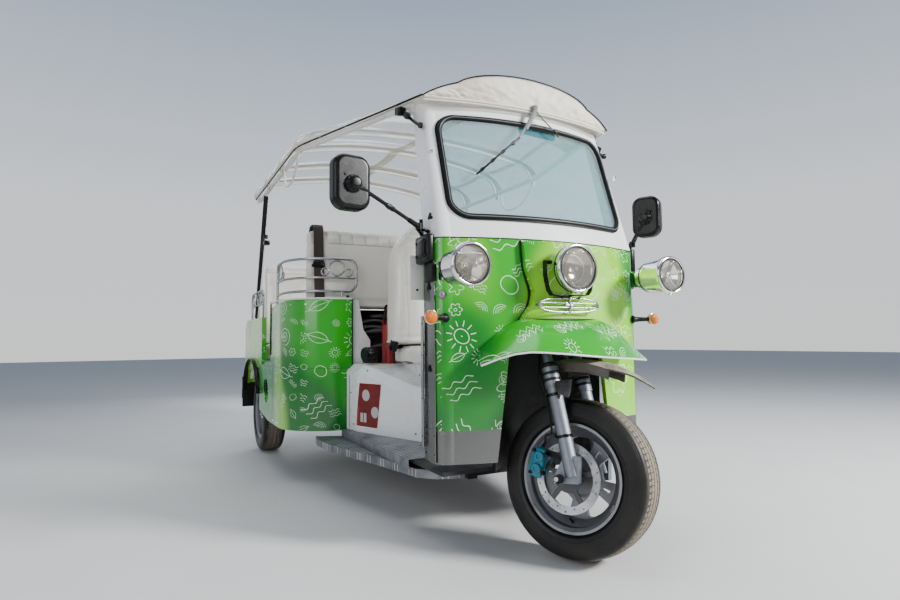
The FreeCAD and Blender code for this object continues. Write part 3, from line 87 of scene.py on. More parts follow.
def math_word(operation):
    return lambda self, *others: self.math(operation, *others)


for word, operation in {"__add__": "ADD", "__radd__": "ADD", "__mul__": "MULTIPLY", "__rmul__": "MULTIPLY",
                        "__sub__": "SUBTRACT", "__truediv__": "DIVIDE", "__mod__": "FLOORED_MODULO",
                        "__pow__": "POWER", "__lt__": "LESS_THAN", "__gt__": "GREATER_THAN", "__abs__": "ABSOLUTE",
                        "floor": "FLOOR", "sin": "SINE", "cos": "COSINE", "root": "SQRT", "least": "MINIMUM",
                        "most": "MAXIMUM"}.items():
    setattr(Signal, word, math_word(operation))


class Finish:
    """One surface finish: a Principled shader and the nodes that vary it."""

    def __init__(self, name, colour, roughness=0.5, **constants):
        self.name, self.material = name, bpy.data.materials.new(name)
        self.material.use_nodes = True
        self.tree = self.material.node_tree
        self.shader = self.tree.nodes["Principled BSDF"]
        self.set("Base Color", colour)
        self.set("Roughness", roughness)
        for key, value in constants.items():
            self.set(key.replace("_", " "), value)
        self.place = self.node("TexCoord", out="Object")

    def set(self, name, value):
        self.feed(self.shader.inputs[name], value)

    def feed(self, socket, value):
        if isinstance(value, Signal):
            self.tree.links.new(value.socket, socket)
        elif isinstance(value, (tuple, list, Vector)):
            socket.default_value = tuple(value) + (1.0,) * (len(socket.default_value) - len(value))
        else:
            socket.default_value = value

    def node(self, kind, settings=(), sockets=(), out=0):
        made = self.tree.nodes.new("ShaderNode" + kind)
        for key, value in dict(settings).items():
            if key == "stops":
                ramp = made.color_ramp
                while len(ramp.elements) < len(value):
                    ramp.elements.new(1.0)
                for stop, (spot, colour) in zip(ramp.elements, value):
                    stop.position, stop.color = spot, (*colour, 1.0)
            else:
                setattr(made, key, value)
        for key, value in dict(sockets).items():
            self.feed(made.inputs[key], value)
        return Signal(self, made.outputs[out])

    def mix(self, share, first, second):
        return self.node("Mix", {"data_type": "RGBA"}, {0: share, 6: first, 7: second}, out=2)

    def noise(self, scale, detail=2.0, rough=0.5, stretch=None):
        spot = self.place
        if stretch:
            spot = self.node("Mapping", sockets={"Vector": spot, "Scale": stretch})
        return self.node("TexNoise", sockets={"Vector": spot, "Scale": scale, "Detail": detail, "Roughness": rough})

    def split(self, vector=None):
        made = self.node("SeparateXYZ", sockets={0: vector or self.place})
        outs = made.socket.node.outputs
        return [Signal(self, outs[k]) for k in range(3)]

    def join(self, x, y, z=0.0):
        return self.node("CombineXYZ", sockets={0: x, 1: y, 2: z})

    def bump(self, height, depth, strength=1.0):
        self.set("Normal", self.node("Bump", sockets={"Strength": strength, "Distance": depth, "Height": height}))


def dusty(finish, colour, dust, amount, scale=6.0, low=0.45, high=0.75):
    """Mixes dust into a colour in soft clouds."""
    cloud = finish.noise(scale, 5.0, 0.6).ease(low, high) * amount
    finish.set("Base Color", finish.mix(cloud, colour, dust))
    return cloud


FOCAL_PX, PHOTO_WIDTH_PX, SENSOR_MM = 585.5, 900, 36.0


def camera():
    """The photograph's view: 23 mm lens on a 36 mm frame, low beside the right front corner."""
    yaw, pitch, roll = (radians(angle) for angle in (26.83, 3.98, -0.65))
    ahead = V(sin(yaw) * cos(pitch), cos(yaw) * cos(pitch), sin(pitch))
    right = ahead.cross(V(0, 0, 1)).normalized()
    up = right.cross(ahead)
    right, up = (right * cos(roll) + up * sin(roll), up * cos(roll) - right * sin(roll))
    data = bpy.data.cameras.new("photo_view")
    data.sensor_width = SENSOR_MM
    data.lens = FOCAL_PX / PHOTO_WIDTH_PX * SENSOR_MM
    data.clip_start = 0.02
    eye = bpy.data.objects.new("photo_view", data)
    turn = Matrix((right, up, -ahead)).transposed().to_4x4()
    eye.matrix_world = Matrix.Translation(at(-1.396, -1.729, 0.774)) @ turn
    bpy.context.scene.collection.objects.link(eye)
    bpy.context.scene.camera = eye


# Each light's name, place, size and power.
LIGHTS = (("key", (3.9, -4.3, 3.9), 1.3, 1000.0), ("fill", (-5.0, -1.8, 2.4), 3.0, 90.0),
          ("top", (-0.5, 1.4, 5.2), 4.0, 150.0), ("back", (1.0, 6.5, 3.0), 3.0, 90.0))
# The surround's colours from the horizon (0) to overhead (1).
SKY = ((0.0, (0.93, 0.94, 0.95)), (0.22, (0.86, 0.91, 0.97)), (0.55, (0.34, 0.44, 0.6)), (1.0, (0.2, 0.27, 0.4)))


def lights():
    """A bright key from the left front, soft fills, and a surround pale behind, deeper in front and above."""
    target = at(0, 1.2, 0.8)
    for name, spot, size, power in LIGHTS:
        data = bpy.data.lights.new(name, "AREA")
        data.size, data.energy = size, power
        lamp = bpy.data.objects.new(name, data)
        place = at(*spot)
        lamp.matrix_world = Matrix.Translation(place) @ (target
                                                         - place).to_track_quat("-Z", "Y").to_matrix().to_4x4()
        bpy.context.scene.collection.objects.link(lamp)
    world = bpy.data.worlds.new("surround")
    world.use_nodes = True
    tree = world.node_tree
    height = tree.nodes.new("ShaderNodeSeparateXYZ")
    ramp = tree.nodes.new("ShaderNodeValToRGB")
    tree.links.new(tree.nodes.new("ShaderNodeTexCoord").outputs["Generated"], height.inputs[0])
    tree.links.new(height.outputs["Z"], ramp.inputs[0])
    behind = tree.nodes.new("ShaderNodeMapRange")
    for key, value in {"From Min": -0.25, "From Max": 0.35, "To Min": 0.38, "To Max": 1.0}.items():
        behind.inputs[key].default_value = value
    tree.links.new(height.outputs["Y"], behind.inputs["Value"])
    tree.links.new(ramp.outputs[0], tree.nodes["Background"].inputs[0])
    tree.links.new(behind.outputs[0], tree.nodes["Background"].inputs[1])
    stops = ramp.color_ramp.elements
    for spot, _ in SKY[1:-1]:
        stops.new(spot)
    for stop, (spot, colour) in zip(stops, SKY):
        stop.position, stop.color = spot, (*colour, 1.0)
    bpy.context.scene.world = world


def studio_floor():
    bm = bmesh.new()
    bmesh.ops.create_grid(bm, x_segments=1, y_segments=1, size=30.0)
    mesh = bpy.data.meshes.new("studio_floor")
    bm.to_mesh(mesh)
    bm.free()
    floor = bpy.data.objects.new("studio_floor", mesh)
    bpy.context.scene.collection.objects.link(floor)
    pale = Finish("studio_floor", (0.62, 0.62, 0.6), 0.75)
    grain = pale.noise(3.0, 4.0)
    pale.set("Base Color", pale.mix(grain, (0.6, 0.6, 0.585), (0.66, 0.66, 0.645)))
    mesh.materials.append(pale.material)


def green_wrap(name="green_wrap", deep=False):
    """Gloss film: greens in large soft fields under painted lime sheens and pale painted highlights (left out when
    deep), with thin white line drawings, one to a cell.
    """
    f = Finish(name, (0.1, 0.5, 0.08), 0.22, Coat_Weight=0.4, Coat_Roughness=0.06)
    x, y, z = f.split()
    nx, _, nz = f.split(f.node("NewGeometry", out="Normal"))
    side = abs(nx) > 0.72
    over = abs(nz) > 0.6
    u = x * (1 - side) + y * side + (f.noise(6.0, 1.0) - 0.5) * 0.03
    v = z * (1 - over) + y * over + (f.noise(5.0, 1.0) - 0.5) * 0.03
    field = f.noise(1.5, 1.0, 0.4)
    streak = f.noise(1.15, 0.6, 0.5, stretch=(2.0, 2.0, 0.7))
    shade, mid, lime_sheen = (0.003, 0.17, 0.014), (0.016, 0.34, 0.012), (0.24, 0.62, 0.018)
    base = f.mix(field.ease(0.38, 0.48), shade, mid)
    if not deep:
        # Painted sheen: lime streaks and pale patches stand in for light reflected off the gloss film; the deep copy
        # for the beak goes without them.
        base = f.mix(streak.ease(0.515, 0.6), base, lime_sheen)
        pale = f.noise(0.9, 0.5, 0.4, stretch=(3.0, 3.0, 1.0)).ease(0.6, 0.66)
        base = f.mix(pale * 0.3, base, (0.5, 0.8, 0.2))

    def drawing(pitch, seed, stroke, empty):
        line = stroke / pitch
        i, j = (u / pitch + seed).floor(), (v / pitch + seed * 0.37).floor()
        dice = f.node("TexWhiteNoise", {"noise_dimensions": "2D"}, {"Vector": f.join(i, j)}, out="Color")
        pick, turn, grow = f.split(dice)
        a0 = (u / pitch + seed) % 1.0 - 0.5 + (grow - 0.5) * 0.16
        b0 = (v / pitch + seed * 0.37) % 1.0 - 0.5 + (turn - 0.5) * 0.16
        swing = (turn - 0.5) * 1.9
        c, s = swing.cos(), swing.sin()
        size = 1.45 - grow * 0.5
        a, b = (a0 * c + b0 * s) * size, (b0 * c - a0 * s) * size
        r = (a * a + b * b).root()
        angle = b.math("ARCTAN2", a)
        leaf = (abs(abs(b) - 0.17 * (1 - a * a * 8.2)) < line) + (abs(b) < line * 0.8) * (abs(a) < 0.46)
        leaf = leaf * (abs(a) < 0.349 + 0.11 * (abs(b) < line))
        rays = (abs((angle * 1.9099) % 1.0 - 0.5) * r < line * 1.9) * (abs(r - 0.3) < 0.07)
        sun = (abs(r - 0.165) < line) + rays + (r < line * 1.6)
        star = abs(r - 0.26 - (angle * 5.0).cos() * 0.085) < line * 1.25
        waves = (abs((b * 5.5 + 0.5) % 1.0 - 0.5
                     + (a * 20.0).sin() * 0.24) < line * 7.0) * (abs(b) < 0.27) * (abs(a) < 0.38)
        spiral = (abs((r * 8.0 - angle / 6.283) % 1.0 - 0.5) < line * 8.0) * (r < 0.3)
        shell = (abs((r * 9.0) % 1.0 - 0.5) < line * 9.0) * (angle > 0.3) * (angle < 2.84) * (r > 0.06) * (r < 0.4)
        flower = (abs(r - 0.21 - abs((angle * 3.0).cos()) * 0.13) < line * 1.4) + (abs(r - 0.075) < line)
        teeth = abs((a * 5.0) % 1.0 - 0.5) * 0.34
        zigzag = ((abs(b - teeth + 0.12) < line * 1.5) + (abs(b - teeth - 0.04) < line * 1.5)) * (abs(a) < 0.36)
        drop = abs(r * (1.35 + (angle + 1.57).sin().most(0.0) * -0.5) - 0.24) < line * 1.2
        motifs = (leaf, sun, star, waves, spiral, shell, flower, zigzag, drop)
        for k, motif in enumerate(motifs):
            chosen = motif * (pick > k / len(motifs)) * (pick < (k + 1) / len(motifs))
            total = total + chosen if k else chosen
        return total.least(1.0) * (1 - r.ease(0.47, 0.49)) * (grow > empty)

    ink = drawing(0.186, 3.3, 0.0015, 0.0).most(drawing(0.083, 7.7, 0.00105, 0.42) * 0.85)
    fade = f.noise(12.0, 3.0).ease(0.3, 0.5)
    f.set("Base Color", f.mix(ink * (0.55 + fade * 0.4), base, (0.8, 0.93, 0.76)))
    f.set("Roughness", 0.15 + f.noise(30.0, 4.0) * 0.14 + ink * 0.06)
    f.bump(f.noise(2.2, 2.0) + f.noise(160.0, 2.0) * 0.02 + ink * 0.01, 0.006, 0.35)
    return f


def white_shell():
    f = Finish("white_shell", (0.8, 0.8, 0.79), 0.25, Coat_Weight=0.4, Coat_Roughness=0.06)
    dusty(f, (0.82, 0.825, 0.83), (0.62, 0.59, 0.53), 0.25, 7.0, 0.5, 0.85)
    f.set("Roughness", 0.2 + f.noise(20.0, 4.0) * 0.18)
    f.bump(f.noise(3.0, 1.0) + f.noise(220.0) * 0.03, 0.004, 0.3)
    return f


def metal(name, colour, roughness, grain=(1, 1, 1), scratch=90.0, dirt=0.15, depth=0.0006):
    f = Finish(name, colour, roughness, Metallic=1.0)
    lines = f.noise(scratch, 5.0, 0.7, stretch=grain)
    grime = f.noise(9.0, 5.0).ease(0.5, 0.8) * dirt
    f.set("Base Color", f.mix(grime, colour, (0.12, 0.1, 0.08)))
    f.set("Roughness", roughness + lines * 0.14 + grime * 0.5)
    f.bump(lines, depth, 0.5)
    return f


def dark(name, colour, roughness, dust=0.2, grain=180.0, depth=0.0008):
    f = Finish(name, colour, roughness, Specular_IOR_Level=0.22 if max(colour) < 0.03 else 0.5)
    dusty(f, colour, (0.16, 0.145, 0.12), dust, 6.0, 0.52, 0.8)
    f.set("Roughness", roughness - 0.1 + f.noise(24.0, 4.0) * 0.22)
    f.bump(f.noise(grain, 3.0), depth, 0.6)
    return f


def chequer():
    """Aluminium tread plate: raised bars, alternately turned."""
    f = Finish("chequer_plate", (0.62, 0.63, 0.65), 0.38, Metallic=1.0)
    x, y, _ = f.split()
    pitch = 0.022
    i, j = (x / pitch).floor(), (y / pitch).floor()
    flip = ((i + j) % 2.0) > 0.5
    a, b = (x / pitch) % 1.0 - 0.5, (y / pitch) % 1.0 - 0.5
    along = (a + b) * flip + (a - b) * (1 - flip)
    across = (a - b) * flip + (a + b) * (1 - flip)
    bar = 1 - (along * along * 3.2 + across * across * 30.0).ease(0.4, 1.0)
    wear = f.noise(12.0, 4.0)
    # The ground between the bars is a dark grey, a painted reflection of dark ground, with darker dirt in clouds.
    plain = f.mix(wear.ease(0.35, 0.75) * 0.7, (0.26, 0.27, 0.29), (0.09, 0.085, 0.08))
    f.set("Base Color", f.mix(bar * 0.7, plain, (0.66, 0.68, 0.71)))
    f.set("Roughness", 0.5 - bar * 0.2 + wear * 0.15)
    f.bump(bar, 0.0018, 1.0)
    return f


def glass(name, colour, roughness, alpha, flutes=0.0):
    f = Finish(name, colour, roughness, IOR=1.5, Specular_IOR_Level=0.8)
    streak = f.noise(5.0, 3.0, stretch=(1, 1, 3))
    f.set("Alpha", alpha + streak.ease(0.4, 0.8) * alpha * 0.5)
    if flutes:
        x, _, _ = f.split()
        f.bump((x * flutes).sin(), 0.0008, 0.7)
    f.material.surface_render_method = "BLENDED"
    return f


def plastic_lens(name, colour, ribs):
    f = Finish(name, colour, 0.16, Coat_Weight=0.3, Coat_Roughness=0.04)
    x, _, z = f.split()
    bars = (x * ribs).sin() * (z * ribs).sin()
    f.set("Base Color", f.mix(bars.ease(-0.6, 0.8), tuple(c * 0.7 for c in colour), colour))
    f.bump(bars, 0.0012, 0.8)
    return f


def cloth(name, colour, stain, wrinkle=0.5):
    """Coated cloth: fine weave, soft creases and old stains."""
    f = Finish(name, colour, 0.55, Sheen_Weight=0.15, Sheen_Roughness=0.4)
    x, y, z = f.split()
    weave = ((x + y) * 1900.0).sin() * ((z + y * 0.3) * 1900.0).sin()
    crease = f.noise(5.0, 4.0, 0.55, stretch=(1.0, 1.0, 2.4))
    spots = f.noise(3.5, 6.0, 0.65).ease(0.5, 0.78) * 0.55
    f.set("Base Color", f.mix(spots, colour, stain))
    f.set("Roughness", 0.5 + crease * 0.2)
    f.bump(crease * wrinkle + weave * 0.012, 0.02, 0.55)
    return f


def vinyl(name, colour):
    """Soft seat vinyl with a fine pebble and light creases."""
    f = Finish(name, colour, 0.42, Coat_Weight=0.12, Coat_Roughness=0.3)
    pebble = f.node("TexVoronoi", sockets={"Vector": f.place, "Scale": 520.0})
    crease = f.noise(11.0, 4.0, 0.6)
    dusty(f, colour, tuple(c * 0.72 for c in colour), 0.5, 5.0, 0.5, 0.8)
    f.set("Roughness", 0.36 + crease * 0.2)
    f.bump(crease * 0.4 + pebble * 0.06, 0.008, 0.45)
    return f


def tyre_rubber():
    """Beige dust on a tread cut by slanting sipes, black walls; the pattern follows the tyre's own map."""
    f = Finish("tyre", (0.02, 0.02, 0.02), 0.6, Specular_IOR_Level=0.28)
    turn, across, _ = f.split(f.node("UVMap", {"uv_map": "round"}))
    off = abs(across)
    tread = 1 - off.ease(0.068, 0.074)
    grit = f.noise(26.0, 5.0, 0.65)
    cloud = f.noise(7.0, 4.0)
    slant = turn * 84.0 + (off * 46.0).sin() * 0.35 + (across > 0) * 0.5
    sipe = (abs(slant % 1.0 - 0.5) < 0.055) * tread * (off > 0.012)
    notch = (abs((turn * 84.0 + 0.25) % 1.0 - 0.5) < 0.1) * off.ease(0.058, 0.062) * (1 - off.ease(0.078, 0.082))
    cut = (sipe + notch).least(1.0)
    rings = (off * 900.0).sin() * (1 - tread) * (off > 0.1) * (off < 0.16)
    wall_dust = ((1 - off.ease(0.08, 0.104)) * 0.35 + 0.05) * cloud.ease(0.35, 0.75)
    dust = (tread * (0.55 + grit * 0.5) * (1 - cut * 0.8)).least(1.0).most(wall_dust)
    f.set("Base Color", f.mix(dust, (0.006, 0.006, 0.0065), (0.27, 0.232, 0.178)))
    f.set("Roughness", 0.4 + dust * 0.48)
    f.bump((1 - cut) * 1.0 + rings * 0.12 + grit * 0.12, 0.0035, 0.8)
    return f


def webbing(name, colour):
    """Woven strap: fine diagonal ribs."""
    f = Finish(name, colour, 0.6, Sheen_Weight=0.2, Sheen_Roughness=0.4)
    x, _, z = f.split()
    weave = ((x + z) * 2600.0).sin() * ((x - z) * 2600.0).sin()
    worn = f.noise(9.0, 4.0).ease(0.45, 0.8)
    f.set("Base Color", f.mix(worn * 0.5, colour, tuple(c * 2.4 for c in colour)))
    f.set("Roughness", 0.5 + worn * 0.3)
    f.bump(weave, 0.0006, 0.7)
    return f


def red_plate():
    """A bare plate: red field with plain white discs and bars, no writing."""
    f = Finish("plate_red", (0.42, 0.03, 0.025), 0.3, Coat_Weight=0.3, Coat_Roughness=0.1)
    _, y, z = f.split()
    y, z = y - (HOME.y + 1.195), z - 0.445
    disc = ((y - 0.026) ** 2.0 + (z - 0.05) ** 2.0 < 0.00088) + ((y + 0.044) ** 2.0 + (z + 0.034) ** 2.0 < 0.00082)
    bar = (abs(y - 0.046) < 0.024) * (abs(z + 0.066) < 0.024) * (abs(y - 0.046) > 0.003)
    f.set("Base Color", f.mix((disc + bar).least(1.0), (0.34, 0.022, 0.018), (0.82, 0.81, 0.79)))
    f.set("Roughness", 0.25 + f.noise(30.0, 3.0) * 0.2)
    return f


# The two dials: how far out they stand from the middle, their face's centre and radius.
DIAL_X, DIAL_Y, DIAL_Z, DIAL_R = 0.052, 0.2095, 1.192, 0.034


def dial_face():
    """A dial's black face with pale ticks round its edge."""
    f = Finish("dial_face", (0.01, 0.01, 0.011), 0.3)
    x, _, z = f.split()
    x, z = abs(x - HOME.x) - DIAL_X, z - DIAL_Z
    r = (x * x + z * z).root()
    ticks = (abs((z.math("ARCTAN2", x) * 4.0) % 1.0 - 0.5) < 0.12) * (abs(r - 0.027) < 0.003)
    f.set("Base Color", f.mix(ticks, (0.01, 0.01, 0.011), (0.8, 0.8, 0.78)))
    f.set("Roughness", 0.25 + f.noise(60.0, 2.0) * 0.1)
    return f


def brake_disc():
    """Bright swept ring with fine turning lines, round a dull dark carrier."""
    f = Finish("disc_steel", (0.7, 0.7, 0.71), 0.25, Metallic=1.0)
    hub = Vector(joints["front_wheel_spin"]["pos_m"])
    axle = Vector(joints["front_wheel_spin"]["axis"]).normalized()

    def vector(operation, *values, out=0):
        return f.node("VectorMath", {"operation": operation}, dict(enumerate(values)), out)

    off = vector("SUBTRACT", f.place, hub)
    along, reach = vector("DOT_PRODUCT", off, axle, out="Value"), vector("LENGTH", off, out="Value")
    radius = (reach * reach - along * along).root()
    swept = radius.ease(0.0925, 0.0945)
    f.set("Base Color", f.mix(swept, (0.1, 0.1, 0.105), (0.72, 0.72, 0.73)))
    f.set("Roughness", 0.5 - swept * 0.26 + f.noise(60.0, 3.0) * 0.1)
    f.bump((radius * 9000.0).sin() * swept, 0.0002, 0.6)
    return f


def guard_plastic():
    """Black plastic with road dust lying on what faces up."""
    f = Finish("dusty_plastic", (0.01, 0.01, 0.01), 0.5)
    _, _, up = f.split(f.node("NewGeometry", out="Normal"))
    lying = up.ease(-0.15, 0.75) * f.noise(14.0, 5.0, 0.6).ease(0.25, 0.55)
    f.set("Base Color", f.mix(lying * 0.9, (0.008, 0.008, 0.0085), (0.36, 0.31, 0.235)))
    f.set("Roughness", 0.36 + lying * 0.45)
    f.bump(f.noise(300.0, 3.0), 0.0004, 0.5)
    return f


finishes = {finish.name: finish for finish in (
    dark("frame_black", (0.008, 0.008, 0.009), 0.42, 0.3),
    dark("floor_rubber", (0.022, 0.022, 0.023), 0.7, 0.4),
    chequer(),
    white_shell(),
    green_wrap(),
    green_wrap("green_beak", deep=True),
    # Stainless gets a dark base colour, a painted reflection of dark ground in place of its own bright shine.
    metal("stainless", (0.19, 0.187, 0.183), 0.18, (1, 1, 14), 60.0, 0.35),
    glass("clear_glass", (0.14, 0.42, 0.48), 0.02, 0.22),
    dark("black_rubber", (0.006, 0.006, 0.0062), 0.4, 0.08),
    metal("lamp_chrome", (0.88, 0.87, 0.85), 0.03, (1, 1, 1), 30.0, 0.1, 0.0001),
    metal("lamp_bowl", (0.34, 0.31, 0.26), 0.06, (1, 1, 1), 40.0, 0.25, 0.0004),
    glass("lamp_glass", (0.7, 0.67, 0.58), 0.02, 0.08, 560.0),
    plastic_lens("amber_lens", (0.9, 0.2, 0.0), 900.0),
    dark("black_plastic", (0.005, 0.005, 0.0054), 0.26, 0.05, 400.0, 0.0002),
    cloth("cream_vinyl", (0.74, 0.685, 0.575), (0.42, 0.33, 0.21)),
    dark("white_tube", (0.72, 0.71, 0.68), 0.35, 0.3, 60.0, 0.0004),
    metal("polished_tube", (0.38, 0.38, 0.39), 0.16, (1, 1, 1), 50.0, 0.3),
    vinyl("white_vinyl", (0.78, 0.745, 0.685)),
    metal("cast_case", (0.2, 0.2, 0.2), 0.6, (1, 1, 1), 120.0, 0.6, 0.002),
    dark("red_paint", (0.3, 0.008, 0.008), 0.3, 0.1),
    plastic_lens("red_lens", (0.5, 0.01, 0.01), 700.0),
    metal("fork_alloy", (0.235, 0.255, 0.295), 0.42, (1, 1, 4), 120.0, 0.45),
    dark("teal_paint", (0.006, 0.17, 0.25), 0.34, 0.5),
    tyre_rubber(),
    metal("wheel_alloy", (0.27, 0.27, 0.29), 0.42, (1, 1, 1), 70.0, 0.55),
    brake_disc(),
    glass("roof_film", (0.8, 0.85, 0.88), 0.08, 0.17),
    webbing("dark_strap", (0.03, 0.017, 0.013)),
    glass("bulb_glass", (0.95, 0.85, 0.6), 0.05, 0.55),
    metal("mirror_silver", (0.86, 0.87, 0.88), 0.015, (1, 1, 1), 20.0, 0.05, 0.00002),
    dark("wiper_grey", (0.17, 0.175, 0.18), 0.38, 0.25, 300.0, 0.0004),
    red_plate(),
    webbing("dust_thread", (0.2, 0.185, 0.16)),
    guard_plastic(),
    dial_face(),
)}
# Each CAD part takes the finish named by its slot in the record; the fork's mudguard takes the dusty plastic.
for part in frame["record"]["subparts"]:
    mesh = nodes[part["node"]].data
    mesh.materials.clear()
    finish = "dusty_plastic" if part["node"] == "fork_mudguard" else part["material_slot"]
    mesh.materials.append(finishes[finish].material)
    mesh.shade_smooth()
    mesh.set_sharp_from_angle(angle=radians(32))


# How the steered pieces stand: drawn straight ahead, then turned about the stem to where the wheel is parked.
STEM_FOOT = Vector(joints["steering"]["pos_m"]) - HOME
STEM = Vector(joints["steering"]["axis"]).normalized()
PARKED_TURN = 25.5
PARKED = Matrix.Translation(STEM_FOOT) @ turned_by(PARKED_TURN, STEM) @ Matrix.Translation(-STEM_FOOT)
FRONT_HUB = PARKED.inverted() @ (Vector(joints["front_wheel_spin"]["pos_m"]) - HOME)
# How far each fork leg stands from the wheel's middle.
LEG_X = 0.124


def on_stem(z):
    return STEM_FOOT + STEM * ((z - STEM_FOOT.z) / STEM.z)


def facing(origin, axis):
    """A place whose own Z points along axis."""
    return Matrix.Translation(Vector(origin)) @ Vector(axis).to_track_quat("Z", "Y").to_matrix().to_4x4()


def around(centre, radius, degree):
    """A spot in the plane of a wheel, at a radius and angle from its centre."""
    turn = radians(degree)
    return centre + V(0, cos(turn) * radius, sin(turn) * radius)


def rounded_off(shape, edges, size, steps):
    bmesh.ops.bevel(shape, geom=edges, offset=size, segments=steps, affect="EDGES", profile=0.5, material=-1)


def sheet_mesh(name, columns, rows, bend, keep=None):
    """A grid from -1 to 1 both ways, bent by a function from its s and t to a place."""
    bm = bmesh.new()
    bmesh.ops.create_grid(bm, x_segments=columns, y_segments=rows, size=1.0)
    if keep:
        bmesh.ops.delete(bm, geom=keep(bm), context="FACES")
    for vert in bm.verts:
        vert.co = HOME + bend(vert.co.x, (vert.co.y + 1) / 2)
    return as_mesh(name, bm)


def thicken(obj, thick, offset):
    wall = obj.modifiers.new("thickness", "SOLIDIFY")
    wall.thickness, wall.offset = thick, offset


def seen_from(node, spot, way):
    """Where a ray from a spot first meets a solid, and the skin's direction there, or (None, None)."""
    way = Vector(way)
    hit, skin, normal, _ = node.ray_cast(HOME + Vector(spot), way)
    return (skin - HOME, normal) if hit else (None, None)


def baked(obj):
    """The mesh that the object shows once its modifiers have run."""
    return bpy.data.meshes.new_from_object(obj.evaluated_get(bpy.context.evaluated_depsgraph_get()))


class Piece:
    """One piece, drawn in metres from the ground under the parked front hub; it is put in place after its function.

    What steers is drawn straight ahead and turned to where the wheel is parked, unless steered says otherwise."""

    drawn = []

    def __init__(self, name, slot, body="root", replaces=(), steered=None, smooth=38.0):
        self.name, self.slot, self.body, self.replaces, self.smooth = name, slot, body, replaces, smooth
        self.steered = body in ("steering", "front_wheel") if steered is None else steered
        self.bm = bmesh.new()
        Piece.drawn.append(self)

    def add(self, shape, place=None):
        if place is not None:
            bmesh.ops.transform(shape, matrix=place, verts=shape.verts)
        mesh = bpy.data.meshes.new("shape")
        shape.to_mesh(mesh)
        shape.free()
        self.bm.from_mesh(mesh)
        bpy.data.meshes.remove(mesh)
        return self

    def rod(self, p, q, r, tip=None, sides=20):
        p, q = Vector(p), Vector(q)
        shape = bmesh.new()
        bmesh.ops.create_cone(shape, cap_ends=True, segments=sides, radius1=r, radius2=r if tip is None else tip,
                              depth=(q - p).length)
        return self.add(shape, facing((p + q) / 2, q - p))

    def bolt(self, spot, normal, r=0.006, head=0.004):
        spot, normal = Vector(spot), Vector(normal).normalized()
        return self.rod(spot - normal * 0.002, spot + normal * head, r, r * 0.7, 6)

    def turned(self, profile, origin, axis, steps=48, closed=False):
        """Spins (along, radius) points about the axis."""
        shape = bmesh.new()
        verts = [shape.verts.new((r, 0.0, a)) for a, r in profile]
        edges = [shape.edges.new(pair) for pair in zip(verts, verts[1:] + (verts[:1] if closed else []))]
        bmesh.ops.spin(shape, geom=verts + edges, cent=(0, 0, 0), axis=(0, 0, 1), angle=tau, steps=steps,
                       use_merge=True)
        bmesh.ops.remove_doubles(shape, verts=shape.verts, dist=1e-6)
        return self.add(shape, facing(origin, axis))

    def ring(self, origin, axis, radius, r, steps=40):
        loop = [(r * sin(k * tau / 10), radius + r * cos(k * tau / 10)) for k in range(10)]
        return self.turned(loop, origin, axis, steps, closed=True)

    def block(self, centre, size, bevel=0.003, turn=(0, 0, 0), steps=2):
        """A box with rounded edges, turned about its X, Y and Z by degrees."""
        shape = bmesh.new()
        bmesh.ops.create_cube(shape, size=1.0)
        bmesh.ops.scale(shape, vec=size, verts=shape.verts)
        rounded_off(shape, shape.edges[:], bevel, steps)
        spin = turned_by(turn[2], "Z") @ turned_by(turn[1], "Y") @ turned_by(turn[0], "X")
        return self.add(shape, Matrix.Translation(Vector(centre)) @ spin)

    def wire(self, points, r, closed=False, straight=False, sides=3):
        """A round rod along a smooth line, or along straight runs."""
        curve = bpy.data.curves.new("wire", "CURVE")
        curve.dimensions = "3D"
        curve.bevel_depth, curve.bevel_resolution, curve.use_fill_caps = r, sides, True
        curve.resolution_u = 6
        spline = curve.splines.new("POLY" if straight else "NURBS")
        spline.points.add(len(points) - 1)
        for point, spot in zip(spline.points, points):
            point.co = (*spot, 1.0)
        spline.use_cyclic_u = closed
        if not straight:
            spline.order_u = 3
            spline.use_endpoint_u = not closed
        line = bpy.data.objects.new("wire", curve)
        mesh = bpy.data.meshes.new_from_object(line)
        self.bm.from_mesh(mesh)
        bpy.data.objects.remove(line)
        bpy.data.curves.remove(curve)
        bpy.data.meshes.remove(mesh)
        return self

    def plate(self, outline, thick, place, bevel=0.0):
        """A flat outline given in the place's own X and Y, thickened along its Z."""
        shape = bmesh.new()
        face = shape.faces.new([shape.verts.new((x, y, 0.0)) for x, y in outline])
        pushed = bmesh.ops.extrude_face_region(shape, geom=[face])["geom"]
        bmesh.ops.translate(shape, vec=(0, 0, thick),
                            verts=[g for g in pushed if isinstance(g, bmesh.types.BMVert)])
        if bevel:
            rounded_off(shape, [e for e in shape.edges if abs((e.verts[0].co - e.verts[1].co).z) < 1e-6], bevel, 2)
        return self.add(shape, place)

    def band(self, path, width, across, thick):
        """A flat strap along a path, its width along across."""
        shape = bmesh.new()
        half = Vector(across).normalized() * width / 2
        start = [shape.verts.new(Vector(path[0]) + half * s) for s in (-1, 1)]
        edge = shape.edges.new(start)
        for before, after in zip(path, path[1:]):
            made = bmesh.ops.extrude_edge_only(shape, edges=[edge])["geom"]
            verts = [g for g in made if isinstance(g, bmesh.types.BMVert)]
            edge = next(g for g in made if isinstance(g, bmesh.types.BMEdge))
            bmesh.ops.translate(shape, vec=Vector(after) - Vector(before), verts=verts)
        bmesh.ops.solidify(shape, geom=shape.faces[:], thickness=thick)
        return self.add(shape)

    def done(self):
        """Puts the piece in its place on its body, with its finish."""
        place = Matrix.Translation(HOME) @ (PARKED if self.steered else Matrix())
        bmesh.ops.transform(self.bm, matrix=place, verts=self.bm.verts)
        settle(self.name, as_mesh(self.name, self.bm), self.slot, self.body, self.replaces, self.smooth)


def as_mesh(name, bm):
    """A mesh from finished geometry, its faces turned outward."""
    bmesh.ops.recalc_face_normals(bm, faces=bm.faces)
    mesh = bpy.data.meshes.new(name)
    bm.to_mesh(mesh)
    bm.free()
    return mesh


